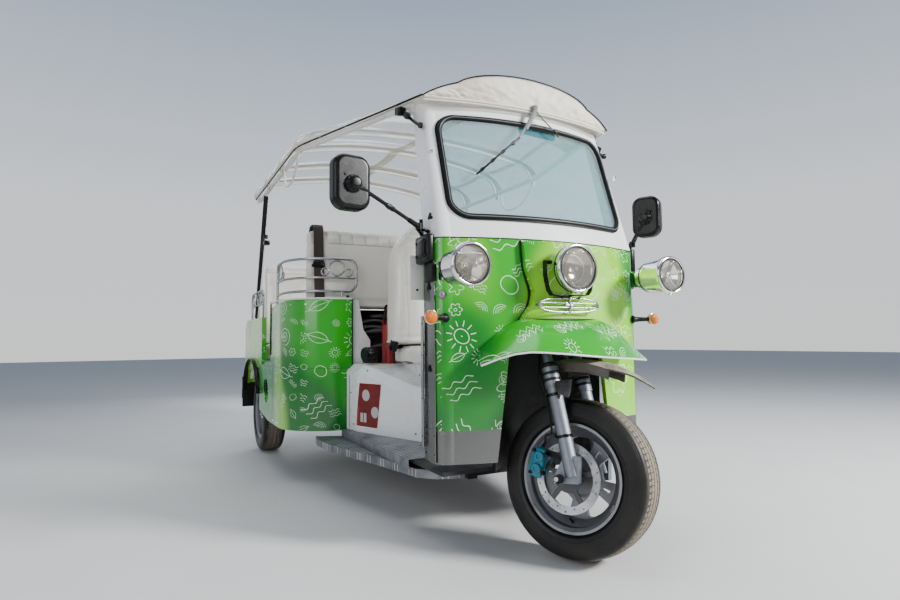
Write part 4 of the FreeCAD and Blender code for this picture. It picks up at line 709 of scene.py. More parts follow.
def settle(name, mesh, slot, body="root", replaces=(), smooth=38.0):
    obj = bpy.data.objects.new(name, mesh)
    bpy.context.scene.collection.objects.link(obj)
    mesh.materials.append(finishes[slot].material)
    mesh.shade_smooth()
    mesh.set_sharp_from_angle(angle=radians(smooth))
    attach(obj, body)
    if replaces:
        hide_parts(*replaces)
    return obj


def on_arc(a, b, c, share):
    """A point at a share of the arc from a over b to c, in a plane."""
    (ax, ay), (bx, by), (cx, cy) = a, b, c
    d = 2 * (ax * (by - cy) + bx * (cy - ay) + cx * (ay - by))
    sa, sb, sc = ax * ax + ay * ay, bx * bx + by * by, cx * cx + cy * cy
    x = (sa * (by - cy) + sb * (cy - ay) + sc * (ay - by)) / d
    y = (sa * (cx - bx) + sb * (ax - cx) + sc * (bx - ax)) / d
    r = hypot(ax - x, ay - y)
    start, mid, end = (atan2(q - y, p - x) for p, q in (a, b, c))
    sweep = (end - start) % tau
    if (mid - start) % tau > sweep:
        sweep -= tau
    turn = start + sweep * share
    return x + r * cos(turn), y + r * sin(turn)


# The cab: half width of its bowed face, the bow's depth, its foremost place, its round corners' radius, the waist's
# height and how far the screen leans back over the waist for each metre up.
FACE_HALF, FACE_BOW, FACE_Y, CORNER_R, WAIST_Z, LEAN = 0.425, 0.077, 0.095, 0.055, 1.154, 0.328
# The passenger body: its half width, where its side ends at the back, and the height its rails stand on; its round
# front corner as three points of an arc, seen from above.
BODY_SIDE, BODY_BACK, RAIL_Z = 0.75, 2.003, 1.018
BODY_CORNER = ((-0.4904, 1.4545), (-0.6738, 1.5421), (-0.75, 1.728))


def cab_front_y(x, z):
    """How far back the bowed cab face stands at one side and height."""
    bow_r = (FACE_HALF ** 2 + FACE_BOW ** 2) / (2 * FACE_BOW)
    return FACE_Y + bow_r - sqrt(bow_r ** 2 - x * x) + max(0.0, z - WAIST_Z) * LEAN


def cab_line(z, out):
    """A line round the right half of the cab at one height, standing out from it, from the back to the centre."""
    line = [(-FACE_HALF - CORNER_R - out, y, z) for y in (0.298, 0.27, 0.245)]
    for k in range(1, 7):
        turn, reach = radians(180 + 15 * k), CORNER_R + out
        line.append((-FACE_HALF + reach * cos(turn), 0.227 + reach * sin(turn), z))
    return line + [(x, cab_front_y(x, z) - out, z) for x in (-FACE_HALF * (1 - k / 6) for k in range(1, 7))]


def body_line(z, out):
    """A line round the right front corner of the passenger body and along its side, standing out from it."""
    line = [(-0.405, 1.45 - out, z), (-0.44, 1.4518 - out, z)]
    for k in range(9):
        x, y = on_arc(*BODY_CORNER, k / 8)
        inward = Vector((-0.49 - x, 1.728 - y)).normalized()
        line.append((x - inward.x * out, y - inward.y * out, z))
    return line + [(-BODY_SIDE - out, y, z) for y in (1.8, 1.9, BODY_BACK)]


# Roof sections: distance back, half width, height of the side and of the crown, how far the crown leans, and
# the two points that the section passes, as shares of its half width and rise.
ROOF = ((0.325, 0.47, 1.742, 1.868, -0.063, 0.9, 0.22, 0.7, 0.51),
        (1.296, 0.753, 1.786, 1.965, 0.0, 0.97, 0.4, 0.86, 0.62),
        (1.75, 0.753, 1.793, 2.02, 0.0, 0.97, 0.4, 0.86, 0.62),
        (2.64, 0.753, 1.806, 2.03, 0.0, 0.97, 0.4, 0.86, 0.62))


def roof_at(s, y, inset=0.002):
    """A point of the roof's skin: s runs from -1 at the right edge to 1 at the left."""
    low, high = next((a, b) for a, b in zip(ROOF, ROOF[1:]) if y <= b[0] + 1e-6)
    t = (y - low[0]) / (high[0] - low[0])
    _, half, side_z, crown_z, lean, sx, sz, kx, kz = (a + (b - a) * t for a, b in zip(low, high))
    half, rise = half - inset, crown_z - inset - side_z
    side = abs(s)
    if side > 0.5:
        fx, fz = on_arc((kx, kz), (sx, sz), (1.0, 0.0), (side - 0.5) * 2)
    else:
        fx, fz = on_arc((0.0, 1.0), (kx / 2, on_bow(kx, kz)), (kx, kz), side * 2)
    return V(copysign(fx, s) * half, y + lean * fz, side_z + rise * fz)


def on_bow(kx, kz):
    """Height at half the shoulder's width of the arc through both shoulders and the crown."""
    r = (kx * kx + (1 - kz) ** 2) / (2 * (1 - kz))
    return 1 - r + sqrt(r * r - kx * kx / 4)


def tyre_section():
    """Half of the tyre's section from the crown down to the bead, as (along, radius)."""
    grooves = ((0.009, 0.0145), (0.031, 0.0365), (0.047, 0.0495))
    line = [(0.0, TYRE_R)]
    for a, b in grooves:
        top = TYRE_R - 0.0005 - 2.0 * a * a
        line += [(a, top), (a + 0.001, top - 0.0065), (b - 0.001, top - 0.0065), (b, top)]
    return line + [(0.058, 0.2722), (0.0625, 0.2688), (0.066, 0.2655), (0.0695, 0.2588), (0.0712, 0.2582),
                   (0.0745, 0.249), (0.0768, 0.238), (0.0775, 0.2225), (0.0772, 0.214), (0.0764, 0.2128),
                   (0.0748, 0.2055), (0.0722, 0.1992), (0.0712, 0.1988), (0.066, 0.193), (0.0615, 0.1908),
                   (0.0585, 0.187), (0.0585, 0.1745)]


def tyre_piece(name, node, body, hub):
    """A tyre with round grooves, shoulder blocks, wall ribs and bead; its map runs round and across it."""
    half = tyre_section()
    inner = [(0.034, 0.1745), (0.044, 0.205), (0.052, 0.24), (0.03, 0.2645)]
    profile = half + inner + [(-a, r) for a, r in inner[::-1]] + [(-a, r) for a, r in half[:0:-1]]
    shape = bmesh.new()
    verts = [shape.verts.new((r, 0.0, a)) for a, r in profile]
    edges = [shape.edges.new(pair) for pair in zip(verts, verts[1:] + verts[:1])]
    bmesh.ops.spin(shape, geom=verts + edges, cent=(0, 0, 0), axis=(0, 0, 1), angle=tau, steps=160, use_merge=True)
    lengths, travelled = {}, 0.0
    for before, spot in zip([half[0]] + half, half):
        travelled += dist(before, spot)
        lengths[(round(spot[0], 4), round(spot[1], 4))] = travelled
    chart = shape.loops.layers.uv.new("round")
    for face in shape.faces:
        middle = atan2(face.calc_center_median().y, face.calc_center_median().x) / tau
        for loop in face.loops:
            x, y, z = loop.vert.co
            turn = atan2(y, x) / tau
            turn += round(middle - turn)
            key = (round(abs(z), 4), round(hypot(x, y), 4))
            loop[chart].uv = (turn, copysign(lengths.get(key, 0.2), z))
    tyre = Piece(name, "tyre", body, replaces=(node,), smooth=28.0)
    tyre.bm.loops.layers.uv.new("round")
    tyre.add(shape, facing(hub, (1, 0, 0)))


def wheels():
    tyre_piece("tyre_front", "front_tyre", "front_wheel", FRONT_HUB)
    for side, name in ((-1, "right"), (1, "left")):
        hub = V(side * TRACK_HALF, REAR_AXLE_Y, TYRE_R)
        body = "rear_wheel_" + name
        tyre_piece("tyre_rear_" + name, "rear_tyre_" + name, body, hub)
        cap = Piece("hub_cap_" + name, "wheel_alloy", body)
        face = hub + V(side * 0.037, 0, 0)
        cap.turned([(0.0, 0.03), (0.012, 0.03), (0.017, 0.026), (0.018, 0.0)], face, (side, 0, 0), 32)
        nuts = Piece("wheel_nuts_" + name, "lamp_chrome", body)
        for k in range(5):
            spot = around(face, 0.044, 72 * k + 36)
            nuts.rod(spot - V(side * 0.001, 0, 0), spot + V(side * 0.013, 0, 0), 0.009, 0.0085, 6)
            nuts.turned([(0.012, 0.008), (0.017, 0.006), (0.019, 0.0)], spot, (side, 0, 0), 12)
    for hub, side, body in ((FRONT_HUB, -1, "front_wheel"),
                            (V(-TRACK_HALF, REAR_AXLE_Y, TYRE_R), -1, "rear_wheel_right"),
                            (V(TRACK_HALF, REAR_AXLE_Y, TYRE_R), 1, "rear_wheel_left")):
        stem = Piece("valve_" + body, "black_rubber", body)
        foot = hub + V(side * 0.03, 0, -0.152)
        tip = foot + V(side * 0.013, 0, 0.008)
        stem.rod(foot, tip, 0.005, 0.003, 12).rod(tip, tip + V(side * 0.006, 0, 0.004), 0.0042, None, 12)
    weights = Piece("balance_weights", "cast_case", "front_wheel")
    for turn in (64.0, 205.0):
        spot = around(FRONT_HUB + V(-0.066, 0, 0), 0.176, turn)
        weights.block(spot, (0.006, 0.028, 0.01), 0.002, (turn + 90, 0, 0))


def off_hub(x, y, z):
    """A spot by its distance from the straightened front hub."""
    return FRONT_HUB + V(x, y, z)


def fork_fittings():
    """Seals, clips and axle nuts on the two legs, the caliper with its bracket, and the clipped brake line."""
    rubber = Piece("fork_seals", "black_rubber", "steering")
    bright = Piece("fork_bolts", "lamp_chrome", "steering")
    for side in (-1, 1):
        leg = V(side * LEG_X, 0, 0)
        for z, r, t in ((0.657, 0.0285, 0.01), (0.634, 0.0312, 0.005), (0.612, 0.0312, 0.005),
                        (0.592, 0.03, 0.004)):
            rubber.turned([(-t, r - 0.003), (-t, r), (t, r), (t, r - 0.003)], on_stem(z) + leg, STEM, 32,
                          closed=True)
        rubber.turned([(0.0, 0.0185), (0.014, 0.0185), (0.0, 0.027)], on_stem(0.66) + leg, STEM, 32, closed=True)
        end = off_hub(side * 0.15, 0, 0)
        rubber.rod(end, end + V(side * 0.014, 0, 0), 0.017, 0.015, 6)
        bright.rod(end + V(side * 0.012, 0, 0), end + V(side * 0.022, 0, 0), 0.009, 0.008, 16)
        pinch = off_hub(side * 0.139, 0.03, 0.04)
        rubber.rod(pinch, pinch + V(side * 0.01, 0, 0), 0.009, 0.009, 6)
    body = Piece("caliper_body", "teal_paint", "steering", replaces=("brake_caliper",))
    body.block(off_hub(-0.1115, 0.106, 0.04), (0.026, 0.05, 0.106), 0.01, (12, 0, 0), 3)
    body.block(off_hub(-0.066, 0.106, 0.04), (0.014, 0.046, 0.092), 0.005, (12, 0, 0), 3)
    body.block(off_hub(-0.089, 0.134, 0.046), (0.052, 0.012, 0.084), 0.005, (12, 0, 0), 3)
    for z in (0.018, 0.062):
        body.turned([(0.0, 0.019), (0.012, 0.019), (0.015, 0.016), (0.015, 0.009), (0.012, 0.008), (0.012, 0.0)],
                    off_hub(-0.12, 0.1 - (z - 0.04) * 0.2, z), (-1, 0, 0), 28)
    dark_bits = Piece("caliper_bracket", "black_plastic", "steering")
    dark_bits.plate([(-0.012, 0.056), (0.05, 0.06), (0.09, 0.076), (0.088, 0.09), (0.04, 0.084), (-0.016, 0.078)],
                    0.007, Matrix.Translation(off_hub(-0.1135, 0, 0)) @ turned_by(90, "Z") @ turned_by(90, "X"),
                    0.001)
    for y, z in ((0.128, 0.004), (0.118, 0.082), (0.072, 0.074), (0.078, 0.006)):
        dark_bits.rod(off_hub(-0.118, y, z), off_hub(-0.132, y, z), 0.008, 0.007, 6)
    dark_bits.rod(off_hub(-0.125, 0.086, 0.096), off_hub(-0.118, 0.08, 0.112), 0.006, 0.005, 12)
    for k in range(2):
        top = on_stem(0.56 - 0.14 * k) + V(-LEG_X, 0, 0)
        dark_bits.turned([(-0.005, 0.0265), (-0.005, 0.0285), (0.005, 0.0285), (0.005, 0.0265)], top, STEM, 28,
                         closed=True)
        dark_bits.block(top + V(-0.01, 0.031, 0), (0.014, 0.01, 0.012), 0.002)
    line = Piece("brake_line", "black_rubber", "steering")
    line.wire([off_hub(-0.118, 0.08, 0.11),
               off_hub(-0.122, 0.084, 0.14)] + [on_stem(z) + V(x, y, 0) for z, x,
                                                y in ((0.42, -0.134, 0.042), (0.47, -0.134, 0.036),
                                                      (0.56, -0.134, 0.036), (0.64, -0.13, 0.044),
                                                      (0.7, -0.1, 0.046), (0.728, -0.08, 0.034))], 0.0038)
    stay = Piece("mudguard_stay", "black_plastic", "steering", steered=False)
    stay.plate([(-0.06, -0.02), (0.055, -0.02), (0.045, -0.06), (0.008, -0.13), (-0.01, -0.135), (-0.04, -0.08)],
               0.003, Matrix.Translation((-0.085, -0.03, 0.65)) @ turned_by(22, "Z") @ turned_by(90, "X"), 0.0008)


def handlebar_fittings():
    """Rubber grips with ridges, levers on their pivots, and switch boxes."""
    y, z = on_stem(1.04).y, 1.04
    rubber = Piece("bar_grips", "black_rubber", "steering")
    levers = Piece("bar_levers", "lamp_chrome", "steering")
    boxes = Piece("bar_switches", "black_plastic", "steering")
    for side in (-1, 1):
        end, inner = V(side * 0.3, y + 0.265, z + 0.04), V(side * 0.13, y + 0.02, z + 0.045)
        run = (inner - end).normalized()
        profile = []
        for k in range(13):
            profile += [(0.008 * k + 0.002, 0.0176), (0.008 * k + 0.004, 0.0188), (0.008 * k + 0.006, 0.0176)]
        rubber.turned([(-0.004, 0.0), (-0.004, 0.02),
                       (0.0, 0.02)] + profile + [(0.112, 0.022), (0.117, 0.022), (0.117, 0.012)], end - run * 0.006,
                      run, 24)
        boxes.block(end + run * 0.142 + V(0, 0, 0.004), (0.046, 0.046, 0.046), 0.008,
                    (0, 0, degrees(atan2(run.y, run.x))), 3)
        pivot = end + run * 0.15 + V(0, -0.03, 0.004)
        ahead = V(-run.y, run.x, 0) * (0.036 if run.x * run.y < 0 else -0.036)
        levers.wire([pivot, pivot - run * 0.02 + ahead * 0.3, end + run * 0.06 + ahead,
                     end - run * 0.01 + ahead * 1.15], 0.0055)
        boxes.rod(pivot - V(0, 0, 0.01), pivot + V(0, 0, 0.01), 0.012, None, 16)


# The roof: where its hoops cross, its front and back, and the bands' places as shares of its half width.
HOOPS = (1.316, 1.75, 2.2)
ROOF_Y0, LAST_HOOP_Y, ROOF_Y1 = 0.325, 2.616, 2.64
LENGTHWISE = (0.0, 0.5)


def roof_y(share):
    return ROOF_Y0 + share * (ROOF_Y1 - ROOF_Y0)


def roof_opaque(s, y):
    """Where the roof is cream cloth: its front, its hems and the bands over the hoops and rails."""
    return (y < 0.84 - 0.1 * s * s or abs(s) > 0.9 or y > 2.585 or any(abs(y - hoop) < 0.032 for hoop in HOOPS)
            or any(abs(abs(s) - line) < 0.02 for line in LENGTHWISE))


def roof_skin(name, slot, opaque, columns, rows, thick, sunk):
    """The roof's sheet, or its clear panels, sagging a little between the hoops."""
    spans = (ROOF_Y0, *HOOPS, LAST_HOOP_Y)

    def left_out(bm):
        kept = {}
        for face in bm.faces:
            spot = face.calc_center_median()
            kept[face] = roof_opaque(spot.x, roof_y((spot.y + 1) / 2)) == opaque
        doomed = [face for face, keep in kept.items() if not keep]
        if not opaque:
            doomed = [face for face in doomed if not any(kept[other] for vert in face.verts
                                                         for other in vert.link_faces)]
        return doomed

    def bend(s, t):
        y = roof_y(t)
        spot = roof_at(s, y, 0.002 + sunk)
        low, high = next(((a, b) for a, b in zip(spans, spans[1:]) if y <= b), (spans[-1], ROOF_Y1))
        sag = 0.01 * sin(pi * (y - low) / (high - low)) ** 2 * (1 - abs(s) ** 4)
        ripple = noise.noise(V(s * 5, y * 6, 2.0)) * 0.004 * (1 - abs(s) ** 6)
        spot.z += ripple - sag
        return spot

    obj = settle(name, sheet_mesh(name, columns, rows, bend, left_out), slot, smooth=60.0)
    thicken(obj, thick, -1.0)
    return obj


def header_at(s):
    """The line along the top of the windscreen where the hood's front cloth is tucked in."""
    return V(s * 0.462, 0.262 + 0.075 * s * s, 1.739 + 0.004 * s * s)


def roof():
    hood = roof_skin("hood_cloth", "cream_vinyl", True, 96, 150, 0.0015, 0.0)
    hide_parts("canopy")
    panels = roof_skin("hood_windows", "roof_film", False, 72, 110, 0.0008, 0.0014)

    def bend(s, t):
        s *= 0.985
        top, foot = roof_at(s, ROOF_Y0, 0.003), header_at(s)
        height = (top - foot).length
        spot = foot.lerp(top, t)
        bulge = sin(pi * t)
        swell = bulge * height * 0.16
        fold = noise.noise(V(s * 9 + t * 3, t * 2.2, 5.0)) * 0.5
        fold += noise.noise(V(s * 22, t * 3 - s * 6, 9.0)) * 0.3
        pull = bulge * fold * 0.02 * min(1.0, height / 0.06)
        spot.y -= swell * 0.6 + pull
        spot.z += swell * 0.15 - 0.006 * bulge * abs(sin(s * 9.0))
        return spot

    front = settle("hood_front_cloth", sheet_mesh("hood_front_cloth", 120, 26, bend), "cream_vinyl", smooth=60.0)
    thicken(front, 0.0015, 0.0)
    hems = Piece("hood_piping", "black_rubber")
    hems.wire([roof_at(k / 24 - 1, ROOF_Y0, 0.0) + V(0, -0.004, 0.001) for k in range(49)], 0.003)
    for side in (-1, 1):
        hems.wire([roof_at(side * 0.998, roof_y(k / 30), -0.001) + V(0, 0, 0.004) for k in range(31)], 0.0042)
    edge = Piece("hood_hems", "cream_vinyl")
    edge.wire([roof_at(k / 24 - 1, 2.636, 0.0) for k in range(49)], 0.0055)
    edge.wire([header_at(k / 16 - 1) + V(0, -0.002, 0) for k in range(33)], 0.005)
    edge.wire([header_at(k / 16 - 1) + V(0, -0.006, -0.012) for k in range(33)], 0.0038)
    straps = Piece("hood_straps", "cream_vinyl")
    for side in (-1, 1):
        for y in (*HOOPS, 2.6):
            foot = roof_at(side * 0.995, y, 0.004)
            straps.block(foot + V(-side * 0.004, 0, -0.014), (0.006, 0.036, 0.04), 0.0025)
    studs = Piece("hood_studs", "lamp_chrome")
    for side in (-1, 1):
        for k in range(11):
            spot = roof_at(side * 0.972, 0.42 + k * 0.215, 0.0)
            studs.turned([(0.0, 0.007), (0.002, 0.007), (0.0035, 0.004), (0.0038, 0.0)], spot,
                         (side * 0.93, 0, 0.36), 16)


SEATS = (  # name, node, how much smaller it starts, how far it may swell, fill
    ("front_bench_back", "bench_front_back", 0.006, 0.024, 0.7),
    ("front_bench_cushion", "bench_front_cushion", 0.01, 0.024, 0.7),
    ("rear_bench_back", "bench_rear_back", 0.006, 0.024, 0.7),
    ("rear_bench_cushion", "bench_rear_cushion", 0.01, 0.024, 0.7),
    ("driver_seat_back", "driver_back", 0.008, 0.022, 0.75),
    ("driver_seat_cushion", "driver_cushion", 0.012, 0.022, 0.75),
)


# How many frames the seats are blown up for, and how far their skin may sink below its start.
PUFF_FRAMES, MOST_SUNK = 20, 0.003


def groove(distance, width):
    return exp(-(distance / width) ** 2)


# The pleats over the front bench's back: where the first is, how far apart they are and where their band ends below.
PLEAT_X, PLEAT, PLEAT_FOOT_Z = -0.606, 0.0757, 1.33
# Other sewn lines of each seat: axis, place (on both sides where it is X), depth.
SEAMS = {"front_bench_back": ((2, PLEAT_FOOT_Z, 0.006),),
         "rear_bench_back": ((2, 1.3, 0.005), (0, 0.25, 0.005)),
         "front_bench_cushion": ((1, 1.66, 0.006), (0, 0.24, 0.004)),
         "rear_bench_cushion": ((1, 2.78, 0.006), (0, 0.24, 0.004)),
         "driver_seat_back": ((2, 1.36, 0.005), (0, 0.185, 0.004)),
         "driver_seat_cushion": ((0, 0.16, 0.005), (1, 1.1, 0.004))}


def seat_seams(name, p):
    """Depth of the sewn lines at a point of a seat, in metres."""
    depth = sum(deep * groove((p[axis] if axis else abs(p.x)) - place, 0.006) for axis, place, deep in SEAMS[name])
    if name == "front_bench_back" and p.z > PLEAT_FOOT_Z + 0.005:
        pleat = (p.x - PLEAT_X) % PLEAT
        depth += 0.005 * groove(min(pleat, PLEAT - pleat), 0.007)
    return depth


def stitch_pleats(back):
    """Sewn lines over the pleated band along the top of the front bench's back, laid on its skin."""
    bpy.context.view_layer.update()
    thread = Piece("bench_stitching", "dust_thread")

    def sewn(spots, way):
        found = [seen_from(back, spot, way)[0] for spot in spots]
        return [spot - Vector(way) * 0.0002 for spot in found if spot]

    for k in range(17):
        x = PLEAT_X + PLEAT * k
        line = sewn([(x, 1.3, 1.338 + 0.012 * j) for j in range(6)], (0, 1, 0))
        line += sewn([(x, y, 1.6) for y in (1.53, 1.56)], (0, 0, -1))
        if len(line) > 3:
            thread.wire(line, 0.0011, sides=1)
    thread.wire(sewn([(-0.64 + 0.032 * k, 1.3, 1.334) for k in range(41)], (0, 1, 0)), 0.0012, sides=1)


def seats():
    """Each seat is remeshed from its solid, blown up a little as cloth, capped, and given its sewn lines."""
    scene = bpy.context.scene
    pads = []
    for name, node, inset, cap, fill in SEATS:
        low, high = (Vector(c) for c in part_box(node))
        middle, half = (low + high) / 2, (high - low) / 2
        bm = bmesh.new()
        bm.from_mesh(nodes[node].data)
        bmesh.ops.remove_doubles(bm, verts=bm.verts, dist=1e-5)
        for vert in bm.verts:
            for k in range(3):
                vert.co[k] = middle[k] + (vert.co[k] - middle[k]) * (half[k] - inset) / half[k]
        mesh = bpy.data.meshes.new(name)
        bm.to_mesh(mesh)
        bm.free()
        obj = bpy.data.objects.new(name, mesh)
        scene.collection.objects.link(obj)
        shape = obj.modifiers.new("shape", "REMESH")
        shape.mode, shape.voxel_size = "VOXEL", 0.0105 if "driver" in name else 0.0125
        obj.data = baked(obj)
        obj.modifiers.clear()
        start = [(vert.co.copy(), vert.normal.copy()) for vert in obj.data.vertices]
        puff = obj.modifiers.new("puff", "CLOTH")
        puff.settings.use_pressure = True
        puff.settings.uniform_pressure_force = 4.0
        puff.settings.effector_weights.gravity = 0.0
        puff.settings.quality = 4
        puff.point_cache.frame_start, puff.point_cache.frame_end = 1, PUFF_FRAMES
        pads.append((name, node, obj, start, low, high, cap, fill))
    for step in range(PUFF_FRAMES):
        scene.frame_set(step + 1)
    swollen = [baked(pad[2]) for pad in pads]
    scene.frame_set(1)
    for (name, node, obj, start, low, high, cap, fill), mesh in zip(pads, swollen):
        obj.modifiers.clear()
        obj.data = mesh
        for vert, (was, outward) in zip(mesh.vertices, start):
            move = vert.co - was
            sunk = move.dot(outward) + MOST_SUNK
            if sunk < 0:
                move -= outward * sunk
            vert.co = was + move
            if move.length > cap:
                vert.co = was + move * cap / move.length
            for k in range(3):
                vert.co[k] = min(max(vert.co[k], low[k] - (0.004 if k < 2 else 0.0)), high[k] + 0.006)
        finer = obj.modifiers.new("finer", "SUBSURF")
        finer.levels = finer.render_levels = 1
        obj.data = baked(obj)
        obj.modifiers.clear()
        mesh = obj.data
        normals = [vert.normal.copy() for vert in mesh.vertices]
        for vert, normal in zip(mesh.vertices, normals):
            spot = vert.co - HOME
            crease = noise.noise(spot * 7.0) * 0.003 + noise.noise(spot * 19.0) * 0.0012
            vert.co += normal * (crease - seat_seams(name, spot))
        mesh.materials.clear()
        mesh.materials.append(finishes["white_vinyl"].material)
        mesh.shade_smooth()
        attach(obj, "root")
        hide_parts(node)
        if name == "front_bench_back":
            stitch_pleats(obj)


def seat_fittings():
    """The strap over the front bench, its buckle and the driver's belt."""
    strap = Piece("bench_strap", "dark_strap", smooth=50.0)
    x = -0.584
    path = [(x + 0.01, 1.508, 1.02), (x + 0.006, 1.506, 1.1), (x + 0.003, 1.504, 1.22)]
    path += [(x, y, z) for y, z in ((1.503, 1.34), (1.505, 1.415), (1.52, 1.432), (1.557, 1.436), (1.594, 1.432),
                                    (1.608, 1.415), (1.61, 1.3), (1.609, 1.05), (1.607, 0.98))]
    strap.band(path, 0.056, (1, 0, 0), 0.0028)
    buckle = Piece("strap_buckle", "black_plastic")
    buckle.block((x + 0.003, 1.5, 1.205), (0.068, 0.012, 0.03), 0.004)
    buckle.block((x - 0.024, 1.497, 1.2), (0.03, 0.01, 0.018), 0.004)
    belts = Piece("belt_reels", "black_plastic")
    belts.block((-0.352, 1.302, 0.7), (0.07, 0.06, 0.086), 0.014, (0, 0, 12), 3)
    belts.turned([(-0.026, 0.0), (-0.026, 0.036), (-0.018, 0.04), (0.018, 0.04), (0.026, 0.036), (0.026, 0.0)],
                 (-0.362, 1.302, 0.705), (1, 0.2, 0), 32)
    belts.block((-0.252, 1.205, 0.752), (0.03, 0.046, 0.062), 0.009, (22, 0, 10), 3)
    belts.rod((-0.245, 1.215, 0.655), (-0.25, 1.207, 0.73), 0.0065, None, 12)
    web = Piece("belt_webbing", "dark_strap", smooth=50.0)
    web.band([(-0.352, 1.3, 0.745), (-0.338, 1.27, 0.752), (-0.31, 1.228, 0.756), (-0.28, 1.2, 0.762)], 0.046,
             (0.4, -0.6, 0.25), 0.0022)
    web.band([(-0.284, 0.905, 0.664), (-0.272, 0.93, 0.668), (-0.262, 0.99, 0.671), (-0.258, 1.04, 0.672)], 0.03,
             (1, 0, 0), 0.002)


# Directions: back along the vehicle, and up.
BACK, UP = (0, 1, 0), (0, 0, 1)
# Each lamp's name, its rim's centre, its radius and its bowl's depth.
LAMPS = (("headlamp", (0.0, -0.022, 1.037), 0.087, 0.0456),
         ("side_lamp_right", (-0.458, -0.039, 1.029), 0.072, 0.0722),
         ("side_lamp_left", (0.458, -0.039, 1.029), 0.072, 0.0722))


def lamps():
    """Bright bowls, bulbs and fluted lenses in the three lamps, with their rims and gaskets."""
    for name, centre, r, deep in LAMPS:
        centre = Vector(centre)
        bowl = Piece(name + "_bowl", "lamp_bowl", smooth=50.0)
        bowl.turned([(deep - 0.003, 0.01), (deep * 0.93, r * 0.22), (deep * 0.84, r * 0.42), (deep * 0.66, r * 0.6),
                     (deep * 0.42, r * 0.76), (0.013, r - 0.0115), (0.0085, r - 0.01), (0.0085, r - 0.0085),
                     (0.0125, r - 0.0105)], centre, BACK, 56)
        bulb = Piece(name + "_bulb", "bulb_glass")
        bulb.turned([(deep - 0.006, 0.008), (deep - 0.022, 0.008), (deep - 0.03, 0.006), (deep - 0.033, 0.0)],
                    centre, BACK, 20)
        cap = Piece(name + "_bulb_cap", "lamp_chrome")
        cap.turned([(deep - 0.036, 0.0), (deep - 0.036, 0.007), (deep - 0.031, 0.009), (deep - 0.026, 0.0092)],
                   centre, BACK, 20)
        rim = Piece(name + "_rim", "lamp_chrome", smooth=50.0)
        rim.turned([(0.004, r - 0.0075), (-0.003, r - 0.0065), (-0.0055, r - 0.003), (-0.0045, r + 0.001),
                    (0.0, r + 0.0032), (0.01, r + 0.0042), (0.014, r + 0.0036)], centre, BACK, 64)
        rim.block(centre + V(0, 0.006, -r - 0.0065), (0.016, 0.014, 0.009), 0.003)
        rim.bolt(centre + V(0, 0.0, -r - 0.0065), (0, -1, 0), 0.004, 0.003)
        gasket = Piece(name + "_gasket", "black_rubber")
        gasket.turned([(-0.0052, r - 0.0078), (-0.0052, r - 0.0066), (0.001, r - 0.0066), (0.001, r - 0.0078)],
                      centre, BACK, 56, closed=True)
        if name == "headlamp":
            gasket.turned([(0.0235, r + 0.0012), (0.0235, r + 0.003), (0.0275, r + 0.003), (0.0275, r - 0.002)],
                          centre, BACK, 56, closed=True)
    lens = Piece("lamp_glasses", "lamp_glass", replaces=("lamp_lenses",), smooth=50.0)
    for _, centre, r, _ in LAMPS:
        edge = r - 0.0078
        profile = [(-0.008 * (1 - (k / 9) ** 2) - 0.001, edge * k / 9) for k in range(9, 0, -1)] + [(-0.009, 0.0)]
        back = [(a + 0.0026, q) for a, q in profile[::-1]]
        lens.turned(profile + back[:-1] + [(0.0016, edge)], centre, BACK, 56)
    bracket = Piece("headlamp_bracket", "black_plastic")
    for side in (-1, 1):
        bracket.band([(side * 0.1105, 0.03, 1.064), (side * 0.1095, 0.03, 1.01), (side * 0.098, 0.03, 0.958),
                      (side * 0.084, 0.03, 0.941), (side * 0.06, 0.029, 0.937), (0.0, 0.028, 0.937)], 0.022, BACK,
                     0.004)
        bracket.rod((side * 0.084, 0.03, 1.061), (side * 0.116, 0.03, 1.061), 0.0085, 0.0075, 6)
        bracket.bolt((side * 0.04, 0.026, 0.932), (0, 0, -1), 0.006, 0.006)
    boots = Piece("side_lamp_boots", "black_rubber")
    for side in (-1, 1):
        foot = V(side * 0.458, 0.132, 1.029)
        for back, r in ((0.0, 0.0046), (-0.052, 0.0024)):
            spot = foot + V(0, back, 0)
            skin, _ = seen_from(nodes["side_lamps"], spot + V(0, 0, 0.2), (0, 0, -1))
            boots.ring(spot, BACK, skin.z - spot.z if skin else 0.05, r, 48)
        boots.block((side * 0.482, 0.235, 1.029), (0.02, 0.07, 0.074), 0.006)
    stalks = Piece("indicator_stalks", "black_rubber", replaces=("indicators",))
    lamps_out = Piece("indicator_lenses", "amber_lens", smooth=50.0)
    rings = Piece("indicator_rims", "lamp_chrome")
    for side in (-1, 1):
        centre = V(side * 0.53, 0.13, 0.857)
        foot = V(side * 0.45, 0.176, 0.857)
        out = (centre - foot).normalized()
        stalks.turned([(0.0, 0.0), (0.0, 0.017), (0.006, 0.017), (0.01, 0.013), (0.034, 0.0095), (0.038, 0.0105),
                       (0.042, 0.0095), (0.066, 0.0085), (0.07, 0.01)], foot, out, 24)
        stalks.turned([(0.006, 0.0235), (0.022, 0.02), (0.032, 0.01), (0.033, 0.0)], centre, BACK, 32)
        rings.ring(centre + V(0, 0.001, 0), BACK, 0.0238, 0.0016, 32)
        lamps_out.turned([(-0.02, 0.0), (-0.019, 0.006), (-0.0165, 0.012), (-0.012, 0.018), (-0.006, 0.0222),
                          (0.006, 0.0236)], centre, BACK, 32)
        lamps_out.turned([(0.004, 0.024), (0.012, 0.0236), (0.018, 0.0205), (0.018, 0.0)], centre, BACK, 32)


